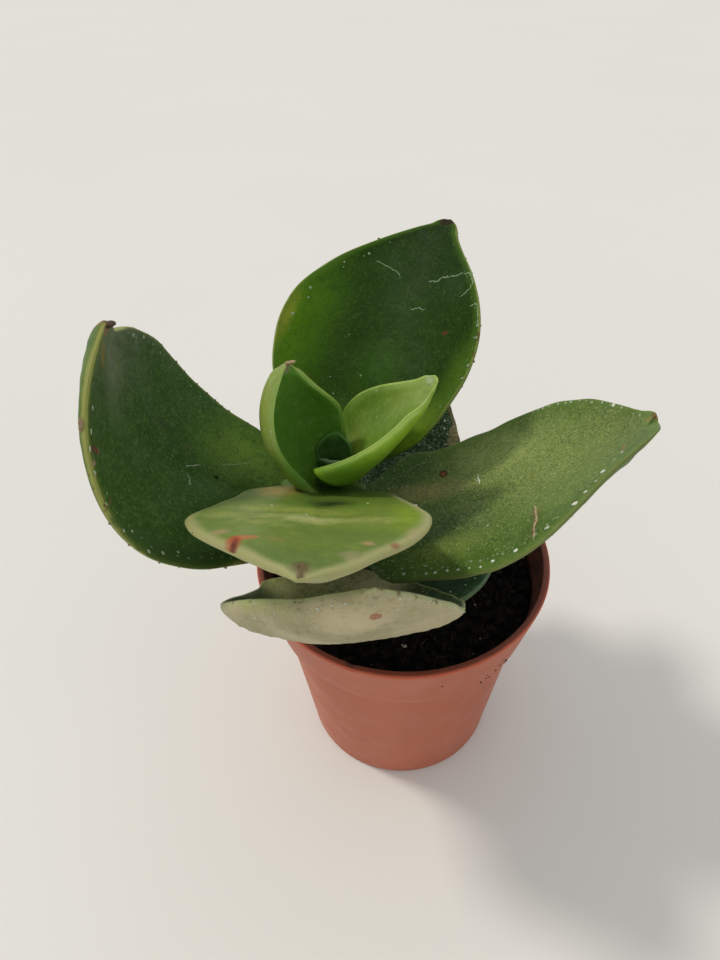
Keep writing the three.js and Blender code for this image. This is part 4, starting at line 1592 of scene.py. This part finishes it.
leafFront = {
    "seat": {"height": 70.6, "reach": 2, "aside": -1.1},
    "heading": (-90, 7.5, -22),
    "rise": (34, 4, -14),
    "roll": (-4.5, 1.5),
    "cup": {"plus": (8, 11), "minus": (12, -20)},
    "size": {"length": 42.5, "width": 29.5, "skew": -0.06, "hook": 1.2},
    "outline": {"base": 0.69, "widest": 1.31, "fullness": 1.07},
    "thickness": {"base": 3.2, "tip": 2.3, "margin": 1.8},
    "mesh": (140, 61),
    "furrow": 0.25,
    "edge": 0.3,
    "bevel": 6.5,
    "lean": (0.45, 0.65),
    "lobes": [(-1, 25, 3, 0.3), (1, 39.5, 2.5, 1.0)],
    "wave": {"margin": 0.1, "length": 7, "swell": 0.14, "pucker": 0.03, "size": 9, "seed": 404},
    "skin": {
        # The dark foot colour holds painted shade under the young leaves
        "foot": "#44651f",
        "middle": "#6e812e",
        "tip": "#5b6f27",
        "dark": "#4b6a2a",
        "pale": "#979f46",
        "below": "#a09f74",
        "belowDark": "#86895d",
        "rim": "#a3a06c",
        "rimWidth": 1.9,
        "rimShare": 0.85,
        "footEnd": 0.55,
        "grainy": 0.12,
        "cork": 0.68,
        "shine": 0.35,
        "washes": [
            # Painted sheen: these three pale bands across the blade
            wash((26, 0), (2.4, 20), "#9ba157", 0.75, ragged=1.6),
            wash((21.5, -4), (2.8, 10), "#979e4a", 0.7, ragged=1.8),
            wash((29, -6), (2.2, 7), "#939c4a", 0.6, ragged=1.8),
            wash((31, 3), (3.4, 9), "#526c21", 0.6),
            wash((17, 1), (3, 12), "#557618", 0.6),
            wash((8, -7), (8, 5), "#a48c46", 0.95, ragged=1.0),
            wash((24, 12), (10, 4), "#819b21", 0.7),
            # Painted sheen: two more pale streaks
            wash((25.2, -1), (2.6, 6), "#b6b67a", 0.6, ragged=0.8),
            wash((26, -11.5), (3, 4), "#989e4c", 0.6),
            # Painted shadow of the young leaves on the foot
            wash((15.8, 1.2), (4.5, 5.5), "#14260a", 1.0),
        ],
    },
    "dots": [
        {
            "tone": 0.6,
            "places": [
                (19.9, -6.5, 0.22), (23.3, -1.5, 0.18), (17.1, 6.5, 0.2), (17.8, 13.1, 0.28),
                (24.6, -0.6, 0.13),
            ],
        },
    ],
    "marks": [
        mark((35.2, -7.4), (1.0, 2.8), "#b0643a", "#b87548", ragged=1.6, soft=0.8),
        mark((36.0, -8.4), (2.3, 1.4), "#a8502e", "#93452b", ragged=1.4, soft=0.7),
        mark((37.0, -8.2), (2.0, 0.75), "#4f241a", "#6b3122", ragged=1.3, soft=0.8),
        mark((34.8, -4), (0.8, 2), "#a97a4c", share=0.25, soft=0.9),
        mark((40.9, 0.2), (1.4, 1.6), "#4c3a26", "#665038", soft=0.85, ragged=0.8),
        mark((42.2, 0.2), (1.2, 0.7), "#4e3a26", "#675038", soft=0.8, ragged=0.5),
        mark((31, 12.2), (2.5, 1.2), "#a89676", share=0.5, soft=0.9, ragged=2),
        mark((37.5, 5.5), (1.6, 2.0), "#a89676", share=0.4, soft=0.9, ragged=2),
        mark((34.2, 10.2), (0.8, 0.8), "#8d6a48", soft=0.7),
        mark((34.3, 7.2), (1.0, 1.2), "#b08a68", share=0.7, soft=0.8),
        mark((33, -10.5), (1.2, 1.4), "#a98a66", share=0.6, soft=0.8),
    ],
}

leafFrontLower = {
    "seat": {"height": 56.1, "reach": 6.2, "aside": -2.7},
    "heading": (-81.5, 7.5, 1),
    "rise": (7.5, 68, 11.5),
    "roll": (0.5, -9),
    "cup": {"plus": (26, -20), "minus": (38, 3)},
    "size": {"length": 45.5, "width": 34, "skew": -0.1, "hook": -0.2},
    "outline": {"base": 0.21, "widest": 1.11, "fullness": 0.83},
    "thickness": {"base": 2.6, "tip": 1.7, "margin": 1.2},
    "mesh": (150, 61),
    "furrow": 0.3,
    "lean": (0, 0),
    "edge": 0.35,
    "bevel": 7,
    "lobes": [(-1, 6.5, 3.2, 2.0), (-1, 24, 6, 0.9)],
    "droops": [(-1, 25, 5, 1.3), (1, 31, 5, 1.1), (-1, 41, 3.5, 0.7)],
    "wave": {"margin": 0.16, "length": 5, "swell": 0.14, "pucker": 0.07, "size": 7, "seed": 505},
    "skin": {
        # Painted light: the foot lies in the shade of the leaf above but is painted pale as if lit
        "foot": "#a8a468",
        "middle": "#37552b",
        "tip": "#2c4a22",
        "dark": "#26401b",
        "pale": "#cec9a8",
        "below": "#b2a781",
        "belowDark": "#95916b",
        "rim": "#a3a878",
        "rimWidth": 0.5,
        "footEnd": 0.42,
        "grainy": 0.4,
        "relief": 0.22,
        "pits": 0.28,
        "pitSize": 0.7,
        "shine": 0.2,
        "washes": [
            # Painted light: two pale patches on the shaded foot
            wash((7, -11), (7, 5), "#efe9a4", 0.98),
            wash((9, 7), (7, 7), "#dcd8a8", 0.95),
        ],
    },
    "dots": bothSides(
        {"from": 0.35, "to": 0.99, "every": 1.2, "inset": 0.7, "size": 0.19, "face": 0, "tone": 0.65},
        {"from": 0.45, "to": 0.9, "every": 2.2, "inset": 1.9, "size": 0.13, "face": 0, "tone": 0.5},
    ),
    "marks": [
        mark((39.5, -2), (5, 6.5), "#cbbd99", face=0, share=0.7, soft=0.95, sunk=0),
        mark((41, 0.5), (1.1, 0.9), "#8f5c46", "#a87a60", face=0, ragged=0.8),
        mark((42.4, 0.9), (0.7, 1.0), "#a57a5c", face=0, share=0.4, soft=0.9),
        mark((33.5, -15.8), (2, 2), "#9aa660", face=0, share=0.45, soft=0.9),
        mark((36, -13.4), (2, 2), "#9aa660", face=0, share=0.45, soft=0.9),
        mark((38.3, -10.8), (2, 2), "#9aa660", face=0, share=0.35, soft=0.9),
        mark((22, 15), (5, 2.5), "#a5ac62", face=0, share=0.6, soft=0.9),
    ],
}

leafBackLower = {
    "seat": {"height": 56, "reach": 3, "aside": -0.3},
    "heading": (78, -1, -0.5),
    "rise": (19, 12.5, -0.5),
    "roll": (2.5, 2.5),
    "cup": {"plus": (29, 0), "minus": (23, -4)},
    "size": {"length": 39.5, "width": 33.5, "skew": -0.01, "hook": 0},
    "outline": {"base": 0.35, "widest": 0.91, "fullness": 0.74},
    "thickness": {"base": 3, "tip": 2, "margin": 1.2},
    "mesh": (110, 51),
    "furrow": 0.25,
    "wave": {"margin": 0.2, "length": 4, "swell": 0.15, "pucker": 0.05, "size": 8, "seed": 606},
    "lobes": [(-1, 18.5, 2.2, 0.7)],
    "skin": {
        "foot": "#2c4726",
        "middle": "#243d20",
        "tip": "#33482b",
        "dark": "#182a15",
        "pale": "#7f8d6c",
        "below": "#5f7344",
        "belowDark": "#4c6034",
        "rim": "#6b6340",
        "rimWidth": 0.7,
        "cork": 0.5,
        "shine": 0.1,
        "speckles": [{"size": 0.35, "cover": 0.53, "share": 0.7, "color": "#8c9a78"}],
    },
    "dots": [
        {"side": -1, "from": 0.3, "to": 0.95, "every": 1.6, "inset": 1.2, "size": 0.2, "tone": 0.6},
        {"side": 1, "from": 0.3, "to": 0.95, "every": 2.0, "inset": 1.3, "size": 0.2, "tone": 0.5},
    ],
    "warts": [
        {"side": -1, "from": 0.3, "to": 0.95, "every": 1.5, "size": 0.28, "tone": 0.5},
        {"side": 1, "from": 0.3, "to": 0.95, "every": 2.4, "size": 0.24, "tone": 0.4},
    ],
    "marks": [
        mark((20, -16.8), (3, 1), "#a08c66", "#5f6546", ragged=2.6, share=0.8),
        mark((39, 0), (1.8, 1.5), "#4b2c1c", "#6f4630", wrap=1.6),
    ],
}

leafRightLower = {
    "seat": {"height": 50.9, "reach": 2.6, "aside": -0.1},
    "heading": (-6.5, 5, 0),
    "rise": (13, -3.5, 0.5),
    "roll": (2.5, 2.5),
    "cup": {"plus": (17, 0), "minus": (17, -4)},
    "size": {"length": 25, "width": 24.5, "skew": -0.01, "hook": 0.2},
    "outline": {"base": 0.4, "widest": 1.26, "fullness": 0.79},
    "thickness": {"base": 3, "tip": 2, "margin": 1.2},
    "mesh": (90, 41),
    "furrow": 0.2,
    "wave": {"margin": 0.1, "length": 4, "swell": 0.1, "pucker": 0.04, "size": 7, "seed": 707},
    "skin": {
        "foot": "#2f4a28",
        "middle": "#2a4428",
        "tip": "#2f4a2c",
        "dark": "#1c301b",
        "pale": "#74866a",
        "below": "#63784a",
        "belowDark": "#4e6238",
        "rim": "#64785a",
        "rimWidth": 0.3,
        "shine": 0.1,
        "grainy": 0.2,
    },
    "dots": [
        {"side": -1, "from": 0.3, "to": 0.95, "every": 2.6, "inset": 1.2, "size": 0.16, "tone": 0.4},
        {"side": 1, "from": 0.3, "to": 0.95, "every": 2.6, "inset": 1.2, "size": 0.16, "tone": 0.4},
    ],
    "marks": [mark((24.6, 0), (1.2, 1.2), "#4b2c1c", "#6f4630", wrap=1.6)],
}

youngLeafLeft = {
    "seat": {"height": 71.5, "reach": 1.4, "aside": 0.9},
    "heading": (172, -6.5, -1),
    "rise": (58, 21.5, 30),
    "roll": (-12.5, -24),
    "cup": {"plus": (69, 10), "minus": (94, 5)},
    "size": {"length": 23.5, "width": 18, "skew": 0.01, "hook": -0.7},
    "outline": {"base": 0.65, "widest": 1.06, "fullness": 0.78},
    "thickness": {"base": 2.6, "tip": 1.7, "margin": 0.9},
    "mesh": (100, 57),
    "furrow": 0.1,
    "edge": 0.18,
    "bevel": 1.6,
    "lean": (0, 1),
    "wave": {"margin": 0.04, "length": 6, "swell": 0.06, "pucker": 0.01, "size": 7, "seed": 808},
    "lobes": [(1, 0, 3, 2.5)],
    "skin": {
        "foot": "#568324",
        "middle": "#558127",
        "tip": "#6a9a36",
        "dark": "#3c6c1c",
        "pale": "#a8bb84",
        "below": "#8b9b45",
        "belowDark": "#788d31",
        "rim": "#93ad58",
        "rimWidth": 0.3,
        "rimShare": 0.6,
        "cloudy": 0.15,
        "grainy": 0.06,
        "cork": 0.9,
        "glow": 0.35,
        "shine": 0.3,
        "rough": 0.42,
    },
    "dots": [{"places": [(17, 8.0, 0.16)], "face": 0, "tone": 0.7}],
    "nub": {"way": (1, 0, 0.1), "shift": (0.5, 0, 0.1), "half": (0.9, 0.32, 0.28), "tone": 0.85},
    "marks": [
        mark((8.5, 8.6), (7.5, 4), "#5a9032", face=0, share=0.75, soft=0.95, sunk=0),
        mark((23.4, 0), (1.8, 1.6), "#a3867a", soft=0.8, sunk=0.1, wrap=1.6, share=0.8),
    ],
}

youngLeafRight = {
    "seat": {"height": 73.6, "reach": 2.1, "aside": -0.7},
    "heading": (-9.5, 12.5, 6),
    "rise": (51.5, 1.5, 2),
    "roll": (-3, 9),
    "cup": {"plus": (53, -5), "minus": (97, -100, 45)},
    "opens": (-1, 0.74, 0.92),
    "size": {"length": 23, "width": 21.5, "skew": -0.02, "hook": -0.5},
    "outline": {"base": 0.62, "widest": 0.39, "fullness": 0.96},
    "thickness": {"base": 2.8, "tip": 1.9, "margin": 0.9},
    "mesh": (100, 57),
    "furrow": 0.1,
    "edge": 0.18,
    "bevel": 1.6,
    "lean": (1, 0),
    "wave": {"margin": 0.05, "length": 7, "swell": 0.07, "pucker": 0.01, "size": 7, "seed": 909},
    "lobes": [(1, 22, 1.4, 0.5), (-1, 22.4, 1.2, 0.5)],
    "skin": {
        "foot": "#547719",
        "middle": "#648421",
        "tip": "#7f953d",
        "dark": "#4b6e19",
        "pale": "#a0ab53",
        "below": "#90b62e",
        "belowDark": "#719820",
        "rim": "#a3b85e",
        "rimWidth": 0.3,
        "rimShare": 0.7,
        "cloudy": 0.25,
        "grainy": 0.12,
        "cork": 0.9,
        "glow": 0.35,
        "shine": 0.35,
        "rough": 0.42,
        "washes": [
            wash((18, 2), (8, 6), "#90a44a", 0.55),
            wash((3.5, 6), (3, 4), "#4a6b14", 0.5),
            wash((4, 3), (4, 5), "#81862c", 0.5),
        ],
        "speckles": [{"size": 0.9, "cover": 0.58, "share": 0.25, "color": "#9db26a"}],
    },
    "dots": [{"places": [(10.5, 3.6, 0.1), (13, 7, 0.1)], "tone": 0.5}],
    "marks": [
        mark((6, -9.5), (5.5, 4.5), "#5f8c22", face=0, share=0.6, soft=0.95, sunk=0),
        mark((22, 0.6), (1.0, 1.6), "#93a676", soft=0.8, sunk=0.1),
        mark((21.6, -0.3), (0.35, 0.35), "#5f7440", soft=0.8, share=0.6),
    ],
}

budLeafBack = {
    "seat": {"height": 74, "reach": 0.2, "aside": -0.65},
    "heading": (78, 0, 0),
    "rise": (72, 5, 8),
    "roll": (0, 0),
    "cup": {"plus": (45, 0), "minus": (45, 0)},
    "size": {"length": 6.4, "width": 6, "skew": 0, "hook": 0},
    "outline": {"base": 0.7, "widest": 1, "fullness": 0.8},
    "thickness": {"base": 1.0, "tip": 0.7, "margin": 0.4},
    "mesh": (50, 31),
    "furrow": 0.05,
    "edge": 0.2,
    "bevel": 0.7,
    "wave": {"margin": 0.02, "length": 3, "swell": 0.02, "pucker": 0.005, "size": 4, "seed": 111},
    "skin": {
        "foot": "#314d1d",
        "middle": "#395b23",
        "tip": "#4a752f",
        "dark": "#203316",
        "pale": "#72924e",
        "below": "#537e37",
        "belowDark": "#325425",
        "rim": "#55803f",
        "rimWidth": 0.25,
        "rimShare": 0.6,
        "cork": 0.9,
        "grainy": 0.1,
    },
}

budLeafFront = {
    "seat": {"height": 73.6, "reach": 0.5, "aside": 0.6},
    "heading": (-105, 0, 0),
    "rise": (60, 10, 10),
    "roll": (0, 0),
    "cup": {"plus": (45, 0), "minus": (45, 0)},
    "size": {"length": 4, "width": 5, "skew": 0, "hook": 0},
    "outline": {"base": 0.75, "widest": 1, "fullness": 0.65},
    "thickness": {"base": 1.2, "tip": 0.8, "margin": 0.5},
    "mesh": (50, 31),
    "furrow": 0.05,
    "edge": 0.25,
    "bevel": 0.7,
    "wave": {"margin": 0.02, "length": 3, "swell": 0.02, "pucker": 0.005, "size": 4, "seed": 121},
    "skin": {**budLeafBack["skin"], "rim": "#7d9470", "rimShare": 0.9},
}

makeLeaf("leafLeft", "leaf_left", leafLeft)
makeLeaf("leafRight", "leaf_right", leafRight)
youngRight = makeLeaf("youngLeafRight", "young_leaf_right", youngLeafRight)
youngLeft = makeLeaf("youngLeafLeft", "young_leaf_left", youngLeafLeft, [youngRight])
front = makeLeaf("leafFront", "leaf_front", leafFront, [youngLeft])
makeLeaf("leafBack", "leaf_back", leafBack, [front])
makeLeaf("leafFrontLower", "leaf_front_lower", leafFrontLower)
makeLeaf("leafBackLower", "leaf_back_lower", leafBackLower)
makeLeaf("leafRightLower", "leaf_right_lower", leafRightLower)
budBack = makeLeaf("budLeafBack", "bud_leaf_back", budLeafBack, [youngLeft, youngRight])
makeLeaf("budLeafFront", "bud_leaf_front", budLeafFront, [youngLeft, youngRight, budBack])
print("leaves done")


# Floor, light and camera

studio = {
    "floorSize": 4000,
    "floor": "#e1dfd8",
    "floorShade": "#dfddd6",
    "sky": "#eef0f2",
    "skyPower": 0.78,
    "sun": {"side": 162, "height": 57, "power": 1.32, "angle": 8.5, "color": (1.0, 0.955, 0.88)},
    "camera": {
        "place": (-7.514, -90.935, 150.381),
        "down": 42.51,
        "roll": -1.84,
        "lens": 27.04,
        "sensor": 36,
    },
}


def makeFloor():
    material, tree, shader = blankMaterial("paleFloor")
    place = solidPlace(tree)
    cloud = grain(tree, place, 160, detail=2)
    fine = grain(tree, place, 1.2, detail=4)
    color = blend(tree, spread(tree, cloud, 0.35, 0.65), studio["floor"], studio["floorShade"])
    dress(tree, shader, color, spread(tree, cloud, 0.3, 0.7, 0.55, 0.65), bump(tree, fine, 0.02, 0.4))
    half = studio["floorSize"] / 2
    points = np.array([(-half, -half, 0), (half, -half, 0), (half, half, 0), (-half, half, 0)]) * mm
    mesh = bpy.data.meshes.new("floor")
    mesh.from_pydata(points.tolist(), [], [(0, 1, 2, 3)])
    mesh.materials.append(material)
    floor = bpy.data.objects.new("floor", mesh)
    bpy.context.scene.collection.objects.link(floor)


# A far soft light from behind the plant's left shoulder
def makeSun():
    sun = studio["sun"]
    lamp = bpy.data.lights.new("sun", "SUN")
    lamp.energy = sun["power"]
    lamp.angle = math.radians(sun["angle"])
    lamp.color = sun["color"]
    side, height = math.radians(sun["side"]), math.radians(sun["height"])
    way = Vector((math.cos(height) * math.cos(side), math.cos(height) * math.sin(side), math.sin(height)))
    made = bpy.data.objects.new("sun", lamp)
    made.location = way * 1.5
    made.rotation_euler = way.to_track_quat("Z", "Y").to_euler()
    bpy.context.scene.collection.objects.link(made)


def makeSky():
    world = bpy.data.worlds.new("softSky")
    world.use_nodes = True
    back = world.node_tree.nodes["Background"]
    back.inputs["Color"].default_value = paint(studio["sky"])
    back.inputs["Strength"].default_value = studio["skyPower"]
    bpy.context.scene.world = world


def makeCamera():
    view = studio["camera"]
    lens = bpy.data.cameras.new("view")
    lens.lens = view["lens"]
    lens.sensor_width = view["sensor"]
    lens.clip_start = mm
    camera = bpy.data.objects.new("view", lens)
    tilt = Matrix.Rotation(math.radians(90 - view["down"]), 4, "X")
    roll = Matrix.Rotation(math.radians(view["roll"]), 4, "Z")
    camera.matrix_world = Matrix.Translation(Vector(view["place"]) * mm) @ tilt @ roll
    bpy.context.scene.collection.objects.link(camera)
    bpy.context.scene.camera = camera


makeFloor()
makeSky()
makeSun()
makeCamera()
bpy.context.scene.view_settings.view_transform = "Standard"
print("studio done")
